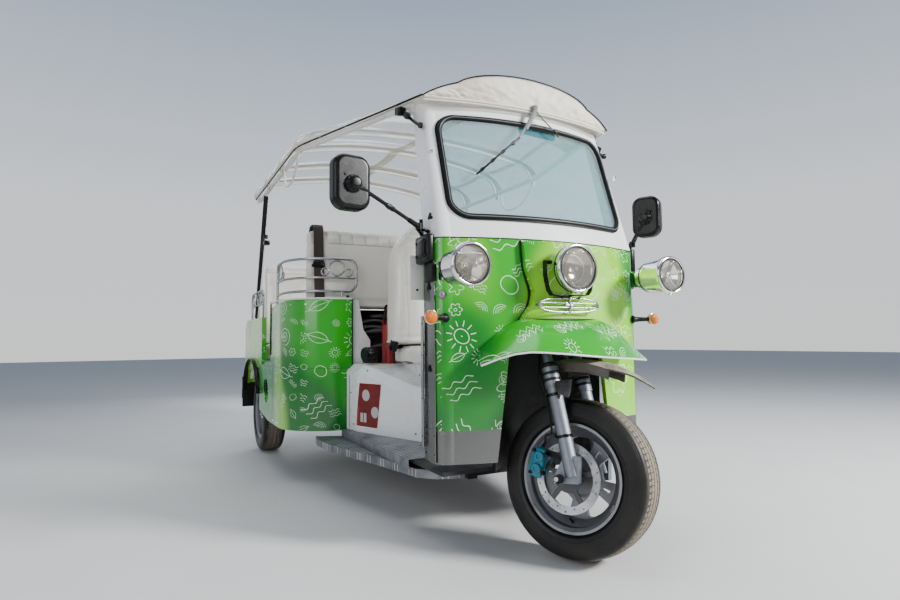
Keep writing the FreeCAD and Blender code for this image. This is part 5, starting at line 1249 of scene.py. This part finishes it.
def rounded(half_w, half_h, corner, steps=7):
    """A round-cornered outline about the origin."""
    line = []
    for k, (sx, sy) in enumerate(((1, 1), (-1, 1), (-1, -1), (1, -1))):
        for step in range(steps + 1):
            turn = radians(90 * (k + step / steps))
            line.append((sx * (half_w - corner) + corner * cos(turn), sy * (half_h - corner) + corner * sin(turn)))
    return line


def mirror_pieces():
    """Glass let into the back of each head, the ball collars, the stays and their clamp blocks."""
    glass_face = Piece("mirror_glass", "mirror_silver")
    black = Piece("mirror_fittings", "black_plastic")
    for side, head, w, h, turn in ((-1, (-0.812, 0.16, 1.312), 0.068, 0.095, 8),
                                   (1, (0.566, 0.188, 1.318), 0.062, 0.092, -62)):
        place = Matrix.Translation(head) @ turned_by(turn, "Z")
        back = place @ Matrix.Translation((0, 0.0205, 0)) @ turned_by(-90, "X")
        glass_face.plate(rounded(w - 0.007, h - 0.007, 0.038), 0.0024, back)
        ring = rounded(w - 0.004, h - 0.004, 0.041)
        black.wire([back @ V(x, y, 0.0015) for x, y in ring], 0.0032, closed=True, straight=True)
        face = place @ Matrix.Translation((0, -0.022, -0.008)) @ turned_by(90, "X")
        face_at, axis = face.to_translation(), face.to_3x3() @ V(0, 0, 1)
        black.turned([(-0.002, 0.0), (-0.002, 0.031), (0.004, 0.031), (0.008, 0.026), (0.013, 0.0255),
                      (0.016, 0.022), (0.021, 0.0215), (0.024, 0.015), (0.028, 0.0135), (0.029, 0.0)], face_at,
                     axis, 36)
        for k in range(12):
            angle = tau * k / 12
            spot = face @ V(cos(angle) * 0.0262, sin(angle) * 0.0262, 0.0085)
            black.rod(spot, spot + axis * 0.006, 0.0026, 0.0022, 8)
        black.rod(face @ V(side * 0.028, 0.03, -0.001), face @ V(side * 0.028, 0.03, 0.004), 0.0055, 0.0045, 12)
        elbow = V(side * 0.526, 0.24, 1.198)
        end = face @ V(0, 0, 0.006)
        along = (end - elbow).normalized()
        near = elbow + along * 0.034
        black.rod(elbow + along * 0.008, near + along * 0.02, 0.0105, 0.0095, 20)
        black.rod(near + along * 0.1, near + along * 0.126, 0.0098, 0.009, 20)
        black.rod(near + along * 0.118, near + along * 0.136, 0.0112, 0.0085, 20)
        black.turned([(-0.012, 0.009), (-0.012, 0.0135), (0.012, 0.0135), (0.012, 0.009)], elbow, UP, 24,
                     closed=True)
        black.rod((side * 0.494, 0.286, 1.172), (side * 0.497, 0.286, 1.236), 0.0085, 0.0075, 16)
        black.rod((side * 0.494, 0.286, 1.18), elbow + V(0, 0.004, -0.012), 0.0078, None, 16)
        black.block((side * 0.4945, 0.262, 1.118), (0.029, 0.118, 0.106), 0.009, steps=3)
        black.block((side * 0.502, 0.25, 1.118), (0.034, 0.06, 0.072), 0.01, steps=3)
        for y in (0.218, 0.3):
            black.bolt((side * 0.509, y, 1.142), (side, 0, 0), 0.0068, 0.005)
            black.bolt((side * 0.509, y, 1.092), (side, 0, 0), 0.0068, 0.005)


def wiper_pieces():
    """The wiper's spindle and knob at the header, its arm, sprung link and blade."""
    arm = Piece("wiper_arm", "wiper_grey", replaces=("wiper",))
    arm.turned([(-0.02, 0.0), (-0.02, 0.014), (-0.012, 0.018), (0.01, 0.018), (0.016, 0.012), (0.02, 0.0)],
               (0.015, 0.262, 1.742), (0.15, -0.9, 0.35), 28)
    arm.wire([(0.018, 0.246, 1.752), (0.008, 0.238, 1.728), (-0.03, 0.222, 1.672), (-0.063, 0.208, 1.628)], 0.0095)
    arm.wire([(-0.058, 0.21, 1.64), (-0.092, 0.196, 1.598), (-0.128, 0.186, 1.557), (-0.134, 0.186, 1.549)], 0.0052)
    arm.wire([(0.02, 0.25, 1.735), (0.055, 0.24, 1.694), (0.107, 0.232, 1.648)], 0.0032)
    blade = Piece("wiper_blade", "black_plastic")
    blade.wire([(-0.108, 0.184, 1.58), (-0.165, 0.18, 1.534), (-0.25, 0.181, 1.458), (-0.306, 0.188, 1.409)],
               0.0042)
    blade.wire([(-0.12, 0.192, 1.568), (-0.21, 0.188, 1.492), (-0.302, 0.196, 1.41)], 0.0028)
    for k in range(4):
        share = 0.15 + 0.24 * k
        spot = V(-0.108, 0.187, 1.58).lerp(V(-0.306, 0.19, 1.409), share)
        blade.block(spot, (0.012, 0.016, 0.018), 0.003, (0, 41, 0))
    blade.wire([(0.096, 0.233, 1.66), (0.12, 0.23, 1.633)], 0.0042)
    inside = Piece("inner_mirror", "black_plastic")
    inside.block((0.092, 0.345, 1.69), (0.19, 0.018, 0.056), 0.008, (0, 3, 0), 3)
    inside.wire([(0.092, 0.34, 1.7), (0.092, 0.318, 1.722), (0.092, 0.316, 1.745)], 0.006)


def nose_trims():
    """Black edging round the nose cowl, its plain oval ornament and the waist seam."""
    edging = Piece("nose_edging", "black_rubber")
    for side in (-1, 1):
        pts = [(side * 0.169, 1.15), (side * 0.1665, 1.095), (side * 0.1625, 1.047), (side * 0.148, 1.0),
               (side * 0.1335, 0.957), (side * 0.14, 0.912), (side * 0.158, 0.874), (side * 0.187, 0.842)]
        edging.wire([(x, cab_front_y(x, z) - 0.0025, z) for x, z in pts], 0.0048)
    low_edge = []
    for k in range(19):
        x = (k / 9 - 1) * 0.186
        skin, _ = seen_from(nodes["nose_cowl"], (x, -0.5, 0.85), (0, 1, 0))
        low_edge.append((x, skin.y - 0.002 if skin else cab_front_y(x, 0.85) - 0.003, 0.848))
    edging.wire(low_edge, 0.0048)
    seam = Piece("waist_seam", "black_rubber")
    line = cab_line(1.1545, 0.0006)
    seam.wire(line + [(-x, y, z) for x, y, z in line[-2::-1]], 0.0022)
    chrome = Piece("nose_ornament", "polished_tube")
    middle = V(0, 0.0385, 0.902)

    def part(x, y, z=0.0):
        return middle + V(x, y, z)

    def swelled(value, power):
        return copysign(abs(value) ** power, value)

    turns = [tau * k / 48 for k in range(48)]
    chrome.wire([part(0.138 * swelled(cos(t), 0.7), -0.004, 0.026 * swelled(sin(t), 0.8)) for t in turns], 0.004,
                closed=True)
    for z in (0.0085, -0.0085):
        chrome.wire([part(-0.128, -0.003, z), part(0, -0.0055, z), part(0.128, -0.003, z)], 0.0026)
    chrome.block(part(0, -0.006), (0.01, 0.01, 0.062), 0.003)
    chrome.block(part(0, -0.006), (0.046, 0.008, 0.008), 0.003)
    for side in (-1, 1):
        chrome.rod(part(side * 0.132, -0.006), part(side * 0.132, 0.02), 0.006, None, 12)


# The beak: half width at its root and at its edge, and the radius of the edge's bow.
BEAK_ROOT_HALF, BEAK_HALF, BEAK_BOW_R = 0.352, 0.384, 0.584
# Height of the beak's edge at equal steps from its right tip to its left one.
BEAK_EDGE_Z = (0.689, 0.712, 0.728, 0.734, 0.732, 0.728, 0.724, 0.719, 0.715,
               0.711, 0.708, 0.705, 0.702, 0.699, 0.696, 0.693, 0.69)


def on_beak(u, t):
    """A point of the beak's top: u from the right tip to the left, t from its root on the face to its edge."""
    place = (u + 1) / 2 * (len(BEAK_EDGE_Z) - 1)
    k = min(int(place), len(BEAK_EDGE_Z) - 2)
    edge_z = BEAK_EDGE_Z[k] + (BEAK_EDGE_Z[k + 1] - BEAK_EDGE_Z[k]) * (place - k)
    edge_y = 0.479 - sqrt(BEAK_BOW_R ** 2 - (BEAK_HALF * u) ** 2)
    root_y = cab_front_y(BEAK_ROOT_HALF * u, 0.8) + 0.004
    under_cowl = 0.838 - 0.13 * (max(0.0, abs(u) - 0.45) / 0.55) ** 1.6
    root_z = under_cowl + 0.018 * (1 - u * u)
    # The height runs through the root, the cowl's lower edge at 0.3 and the beak's own edge.
    height = (root_z * (t - 0.3) * (t - 1) / 0.3 + under_cowl * t * (1 - t) / 0.21 + edge_z * t * (t - 0.3) / 0.7)
    return V(u * (BEAK_ROOT_HALF + (BEAK_HALF - BEAK_ROOT_HALF) * t), root_y + (edge_y - root_y) * t, height)


def beak():
    """The domed mudguard under the nose, with its pale edge and its screws."""
    dome = Piece("nose_beak", "green_beak", replaces=("nose_mudguard",), smooth=50.0)
    shape = bmesh.new()
    bmesh.ops.create_grid(shape, x_segments=64, y_segments=20, size=1.0)
    for vert in shape.verts:
        vert.co = on_beak(vert.co.x, (vert.co.y + 1) / 2)
    bmesh.ops.recalc_face_normals(shape, faces=shape.faces)
    bmesh.ops.solidify(shape, geom=shape.faces[:], thickness=0.005)
    dome.add(shape)
    Piece("beak_edge", "white_shell").wire([on_beak(k / 24 - 1, 1.0) - V(0, 0, 0.0025) for k in range(49)], 0.0036)
    clips = Piece("beak_screws", "black_plastic")
    for u in (-0.86, -0.66, 0.66, 0.86):
        spot = on_beak(u, 0.12)
        normal = (on_beak(u + 0.01, 0.12) - on_beak(u - 0.01, 0.12)).cross(on_beak(u, 0.14) - on_beak(u, 0.1))
        clips.bolt(spot, normal if normal.z > 0 else -normal, 0.006, 0.004)


def screen_trims():
    """The screen's rubber with its filler strip, press studs on the pillars and the corner lock."""
    rubber = Piece("screen_rubber", "black_rubber")
    filler = Piece("screen_filler", "wiper_grey")
    low, high = 1.24, 1.668
    corners = [(x, (low + high) / 2 + z) for x, z in rounded(0.411, (high - low) / 2, 0.07)]
    outline = []
    for (x, z), (next_x, next_z) in zip(corners, corners[1:] + corners[:1]):
        runs = max(1, round(dist((x, z), (next_x, next_z)) / 0.03))
        outline += [(x + (next_x - x) * k / runs, z + (next_z - z) * k / runs) for k in range(runs)]
    outline = [(x * (1 - 0.016 * (z - low) / (high - low)), z) for x, z in outline]
    rubber.wire([(x, cab_front_y(x, z) - 0.003, z) for x, z in outline], 0.0105, closed=True)
    filler.wire([(x * 1.004, cab_front_y(x, z) - 0.013, z) for x, z in outline], 0.0014, closed=True)
    studs = Piece("pillar_studs", "lamp_chrome")
    trefoils = Piece("pillar_screws", "black_plastic")
    for side in (-1, 1):
        studs.turned([(-0.002, 0.0), (-0.002, 0.011), (0.002, 0.011), (0.0045, 0.0085), (0.0045, 0.0062),
                      (0.0025, 0.0058), (0.0025, 0.0)], (side * 0.461, 0.2708, 1.502), (side, -0.35, 0), 24)
        trefoil(trefoils, (side * 0.476, 0.245, 1.241), (side, -0.15, 0))
    lock = V(-0.459, 0.1855, 0.942)
    barrel = Piece("corner_lock", "stainless")
    barrel.turned([(-0.003, 0.0), (-0.003, 0.0165), (0.003, 0.0165), (0.0045, 0.014), (0.0045, 0.0095),
                   (0.006, 0.0085), (0.006, 0.0)], lock, (-0.72, -0.7, 0), 28)
    slot = Piece("lock_slot", "black_rubber")
    slot.block(lock + V(-0.0045, -0.0044, 0), (0.003, 0.003, 0.012), 0.0008, (0, 0, 45))


def both_sides(line):
    return [[(side * x, y, z) for x, y, z in line] for side in (1, -1)]


def trefoil(piece, spot, normal):
    """A flower-headed screw: three lobes round a socket."""
    spot, normal = Vector(spot), Vector(normal).normalized()
    place = facing(spot, normal)
    for k in range(3):
        turn = radians(120 * k + 90)
        lobe = place @ V(cos(turn) * 0.0085, sin(turn) * 0.0085, 0.0)
        piece.turned([(-0.001, 0.0), (-0.001, 0.0068), (0.004, 0.0064), (0.0055, 0.004), (0.0055, 0.0)], lobe,
                     normal, 14)
    piece.turned([(0.0, 0.0), (0.0, 0.0072), (0.0066, 0.0066), (0.0066, 0.0032), (0.003, 0.003), (0.003, 0.0)],
                 spot, normal, 14)


def cab_trims():
    """Bright side strips, the aluminium angle, the pale hatch plate and their screws."""
    strip = Piece("cab_side_strips", "stainless")
    angle = Piece("cab_side_angles", "polished_tube")
    plate = Piece("door_jamb_plates", "white_tube")
    screws = Piece("cab_screws", "black_plastic")
    edges = Piece("kick_plate_edges", "stainless")
    for side in (-1, 1):
        strip.block((side * 0.4815, 0.251, 0.702), (0.003, 0.092, 0.735), 0.0012)
        angle.block((side * 0.486, 0.3055, 0.624), (0.011, 0.006, 0.49), 0.002)
        angle.block((side * 0.491, 0.2985, 0.624), (0.0022, 0.018, 0.49), 0.0008)
        plate.block((side * 0.5035, 0.3105, 1.015), (0.059, 0.0032, 0.17), 0.0012)
        for z in (0.975, 0.671):
            trefoil(screws, (side * 0.4832, 0.247, z), (side, 0, 0))
        screws.bolt((side * 0.505, 0.3085, 0.968), (0, -1, 0), 0.0055, 0.004)
        for z in (0.42, 0.56, 0.72, 0.84):
            screws.bolt((side * 0.4925, 0.2965, z), (side, 0, 0), 0.0035, 0.002)
        for y, z in ((0.214, 0.362), (0.286, 0.362), (0.214, 0.43), (0.286, 0.43)):
            screws.bolt((side * 0.4815, y, z), (side, 0, 0), 0.0042, 0.0025)
        edges.wire([(side * 0.4826, y, 0.452) for y in (0.296, 0.26, 0.24)], 0.0016)


def step_treads():
    """Tread plate on the floor's open strip beside the seat tub, folded down over its edge to the step."""
    tread = Piece("step_treads", "chequer_plate")
    outline = [(-0.3, 0.47), (-0.4745, 0.47), (-0.4745, 1.405), (-0.442, 1.405), (-0.429, 1.29), (-0.266, 0.822),
               (-0.264, 0.64)]
    for side in (-1, 1):
        shape = [(-side * x, y) for x, y in outline]
        tread.plate(shape if side < 0 else shape[::-1], 0.0022, Matrix.Translation((0, 0, 0.3002)))
        tread.block((side * 0.4772, 0.9375, 0.2825), (0.0022, 0.935, 0.04), 0.0006)


# The wheel opening's lip: its radius, and from where to where it runs, in degrees.
FENDER_R, FENDER_FROM, FENDER_TO = 0.362, 8, 158


def body_trims():
    """The passenger body's bead, edge trims, seams, screws, side vents and fender lips."""
    bead = Piece("body_beads", "white_tube")
    for line in both_sides(body_line(1.0165, 0.0015)):
        bead.wire(line, 0.005)
    rubber = Piece("body_edge_trims", "black_rubber")
    for side in (-1, 1):
        rubber.wire([(side * 0.4035, 1.4482, z) for z in (0.292, 0.64, 1.014)], 0.0036)
        rubber.wire([(side * (BODY_SIDE + 0.0015), 2.0035, 0.7), (side * (BODY_SIDE + 0.0015), 2.0045, 0.86),
                     (side * (BODY_SIDE + 0.0015), 2.0035, 1.012)], 0.005)
    seam = Piece("body_seams", "frame_black")
    for line in both_sides([(-0.7512, 2.32, 0.63), (-0.7512, 2.16, 0.63)] + body_line(0.63, 0.0004)[::-1]):
        seam.wire(line, 0.0011)
    screws = Piece("body_screws", "lamp_chrome")
    for side in (-1, 1):
        for k in range(9):
            screws.bolt((side * (BODY_SIDE + 0.0005), 1.76 + k * 0.066, 0.617), (side, 0, 0), 0.0042, 0.0025)
        for y, z in ((1.8, 0.985), (1.95, 0.985), (1.78, 0.31), (1.92, 0.31)):
            screws.bolt((side * (BODY_SIDE + 0.0005), y, z), (side, 0, 0), 0.0048, 0.003)
        for share in (0.18, 0.42, 0.66):
            x, y = on_arc(*BODY_CORNER, share)
            out = V(x + 0.49, y - 1.728, 0).normalized()
            screws.bolt((-side * x, y, 0.985), (-side * out.x, out.y, 0), 0.0048, 0.003)
    vents = Piece("body_vents", "black_rubber")
    for side in (-1, 1):
        vents.wire([(side * (BODY_SIDE + 0.0015), 2.18 + y, 0.497 + z) for y, z in rounded(0.036, 0.042, 0.03)],
                   0.0045, closed=True)
        for k in range(4):
            vents.block((side * 0.751, 2.18, 0.47 + k * 0.018), (0.004, 0.062, 0.006), 0.0015, (0, side * 25, 0))
    lip = Piece("fender_lips", "black_plastic")
    flap = Piece("mud_flaps", "black_rubber")
    for side in (-1, 1):
        turns = [radians(FENDER_FROM + (FENDER_TO - FENDER_FROM) * k / 24) for k in range(25)]
        arc = [(side * 0.757, REAR_AXLE_Y + FENDER_R * 1.02 * cos(t), 0.3 + FENDER_R * sin(t)) for t in turns]
        lip.band(arc, 0.03, (1, 0, 0), 0.004)
        lip.wire([(side * 0.772, y, z) for _, y, z in arc], 0.0045)
        flap.block((side * 0.7, 3.085, 0.4), (0.15, 0.007, 0.23), 0.003, (-7, 0, 0))


def tub_details():
    """The seat tub's blank plate, its screws and its seams."""
    def on_tub(y, z):
        spot, normal = seen_from(nodes["seat_plinth"], (-1.2, y, z), (1, 0, 0))
        return (spot, normal) if spot else (V(-0.424, y, z), V(-1, 0, 0))

    board = Piece("tub_plate", "plate_red")
    shape = bmesh.new()
    bmesh.ops.create_grid(shape, x_segments=10, y_segments=10, size=0.5)
    for vert in shape.verts:
        s, t = vert.co.x + 0.5, vert.co.y + 0.5
        spot, _ = on_tub(1.118 + s * 0.17 + (0.5 - t) * 0.03, 0.334 + t * 0.222)
        vert.co = spot - V(0.0012, 0, 0)
    bmesh.ops.solidify(shape, geom=shape.faces[:], thickness=0.001)
    board.add(shape)
    screws = Piece("tub_screws", "black_plastic")
    for y, z in ((0.86, 0.335), (1.34, 0.335), (1.05, 0.6), (1.24, 0.62), (1.38, 0.5)):
        spot, normal = on_tub(y, z)
        for side in (-1, 1):
            screws.bolt((side * abs(spot.x), spot.y, spot.z), (side, normal.y, normal.z), 0.0055, 0.003)
    seam = Piece("tub_seams", "frame_black")
    line = [on_tub(1.4, 0.31 + k * 0.028)[0] for k in range(12)]
    for side in (-1, 1):
        seam.wire([(side * (abs(spot.x) + 0.0004), spot.y, spot.z) for spot in line], 0.0016)


def guard_fittings():
    """Feet and bolt heads that hold the bright guard rails to the body."""
    feet = Piece("guard_feet", "polished_tube")
    bolts = Piece("guard_bolts", "black_plastic")
    for side in (-1, 1):
        for x, y in ((0.75, 1.985), (0.7495, 1.742), (0.6, 1.494), (0.43, 1.4515)):
            feet.turned([(-0.001, 0.0), (-0.001, 0.0125), (0.003, 0.012), (0.006, 0.008), (0.006, 0.0)],
                        (side * x, y, RAIL_Z), UP, 24)
        bolts.turned([(0.0, 0.0), (0.0, 0.0085), (0.008, 0.0085), (0.011, 0.0055), (0.011, 0.0)],
                     (side * 0.43, 1.4515, 1.024), UP, 20)


def rail_fittings():
    """Clamp and strap at the front rail, grab wires, post clamps and the rear posts' black sleeves."""
    sleeves = Piece("rear_post_sleeves", "frame_black")
    for side in (-1, 1):
        sleeves.rod((side * 0.728, 2.37, 1.78), (side * 0.728, 2.71, 0.955), 0.0158, None, 24)
    clamp = Piece("rail_clamps", "black_plastic")
    wire = Piece("grab_wires", "white_tube")
    for side in (-1, 1):
        clamp.block((side * 0.505, 0.47, 1.722), (0.034, 0.052, 0.036), 0.008, (14, 0, 0), 3)
        clamp.block((side * 0.497, 0.42, 1.69), (0.022, 0.042, 0.026), 0.006, (35, 0, 0))
        clamp.wire([(side * 0.49, 0.44, 1.705), (side * 0.48, 0.405, 1.664), (side * 0.471, 0.352, 1.63)], 0.007)
        clamp.turned([(-0.006, 0.0), (-0.006, 0.012), (0.006, 0.012), (0.006, 0.0)], (side * 0.47, 0.345, 1.628),
                     (side, 0, 0), 20)
        clamp.block((side * 0.742, 2.243, 1.434), (0.038, 0.046, 0.03), 0.006)
        clamp.turned([(-0.012, 0.0), (-0.012, 0.014), (0.012, 0.014), (0.012, 0.0)], (side * 0.752, 2.222, 1.47),
                     UP, 20)
        wire.wire([(side * 0.738, y, z) for y, z in ((1.294, 1.778), (1.33, 1.722), (1.438, 1.658), (1.535, 1.648),
                                                     (1.627, 1.656), (1.676, 1.712), (1.691, 1.8))], 0.0065)


def cab_inside():
    """Dials and pod on the dash, pedals, floor ribs and the parts seen in the shelf's bay."""
    Piece("gauge_pod", "black_plastic").block((0.0, 0.168, 1.182), (0.21, 0.08, 0.082), 0.022, (-18, 0, 0), 3)
    dial = Piece("dial_rims", "lamp_chrome")
    face = Piece("dial_faces", "dial_face")
    for side in (-1, 1):
        out = V(0, 0.95, 0.31)
        spot = V(side * DIAL_X, DIAL_Y, DIAL_Z)
        dial.ring(spot, out, DIAL_R, 0.003, 36)
        face.turned([(-0.001, DIAL_R), (0.0015, DIAL_R), (0.0015, 0.0)], spot, out, 32)
        dial.rod(spot + out * 0.003, spot + out * 0.003 + V(0.013, 0, 0.016), 0.0012, 0.0006, 8)
    pedals = Piece("pedals", "black_rubber")
    levers = Piece("pedal_levers", "frame_black")
    for x in (0.16, 0.26):
        levers.wire([(x, 0.33, 0.3), (x, 0.345, 0.352), (x, 0.4, 0.392)], 0.009)
        pedals.block((x, 0.408, 0.402), (0.074, 0.018, 0.06), 0.005, (-35, 0, 0))
        for k in range(4):
            pedals.block((x, 0.4165 + (k - 1.5) * 0.0095, 0.4105 + (k - 1.5) * 0.0118), (0.068, 0.004, 0.005),
                         0.0012, (-35, 0, 0))
    ribs = Piece("floor_ribs", "floor_rubber")
    for k in range(9):
        ribs.block((0.0, 0.47 + k * 0.034, 0.3015), (0.62, 0.01, 0.004), 0.0014)
    for k in range(10):
        ribs.block((0.0, 2.03 + k * 0.036, 0.3015), (1.3, 0.01, 0.004), 0.0014)
    hoses = Piece("bay_hoses", "cast_case")
    for k, (y, z, r) in enumerate(((1.56, 0.915, 0.011), (1.545, 0.87, 0.008), (1.552, 0.83, 0.013),
                                   (1.535, 0.905, 0.006))):
        hoses.wire([(-0.37, y, z - 0.05), (-0.31, y - 0.03, z), (-0.18, y - 0.045, z + 0.015 * (-1) ** k),
                    (-0.02, y - 0.035, z - 0.02), (0.16, y - 0.045, z + 0.01), (0.34, y - 0.02, z - 0.03)], r)
    units = Piece("bay_units", "cast_case")
    for x, y, z, w, h in ((-0.27, 1.525, 0.735, 0.1, 0.1), (-0.15, 1.53, 0.7, 0.07, 0.14),
                          (0.14, 1.525, 0.72, 0.13, 0.12)):
        units.block((x, y, z), (w, 0.05, h), 0.006, steps=2)
        for k in range(5):
            units.block((x, y - 0.026, z - h * 0.36 + k * h * 0.18), (w * 0.86, 0.006, h * 0.07), 0.0015)
    shine = Piece("bay_clips", "lamp_chrome")
    for x in (-0.31, -0.09, 0.09, 0.27):
        shine.ring((x, 1.517, 0.862), (1, 0, 0.2), 0.0135, 0.0018, 24)
    bottle = Piece("extinguisher_details", "black_plastic")
    centre = V(-0.215, 1.3625, 0.947)
    bottle.turned([(-0.004, 0.0), (-0.004, 0.019), (0.012, 0.017), (0.026, 0.011), (0.03, 0.0)], centre, UP, 24)
    bottle.wire([centre + V(0.0, 0, 0.018), centre + V(-0.022, -0.016, 0.034), centre + V(-0.04, -0.03, 0.01),
                 centre + V(-0.045, -0.034, -0.08)], 0.0062)
    bottle.block(centre + V(0.012, 0.01, 0.034), (0.052, 0.012, 0.008), 0.002, (0, -12, 40))


def rear_details():
    """Tail lamp rims and reflectors, and the plate light."""
    rims = Piece("tail_lamp_rims", "lamp_chrome")
    glow = Piece("tail_reflectors", "red_lens")
    for side in (-1, 1):
        low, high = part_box("tail_lamps")
        middle = V(side * 0.64, high.y - HOME.y, (low.z + high.z) / 2)
        for k, z in enumerate((0.045, 0.0, -0.045)):
            spot = middle + V(0, 0.001, z)
            rims.ring(spot, (0, 1, 0), 0.0215, 0.0018, 28)
            if k != 1:
                glow.turned([(0.0, 0.0205), (0.004, 0.019), (0.006, 0.012), (0.0065, 0.0)], spot, (0, 1, 0), 28)
    Piece("plate_lamp", "black_plastic").block((0.0, 3.125, 0.87), (0.11, 0.022, 0.026), 0.006)


for make in (wheels, fork_fittings, handlebar_fittings, roof, seats, seat_fittings, lamps, mirror_pieces,
             wiper_pieces, nose_trims, beak, screen_trims, cab_trims, step_treads, body_trims, tub_details,
             guard_fittings, rail_fittings, cab_inside, rear_details, camera, studio_floor, lights):
    make()
    while Piece.drawn:
        Piece.drawn.pop(0).done()
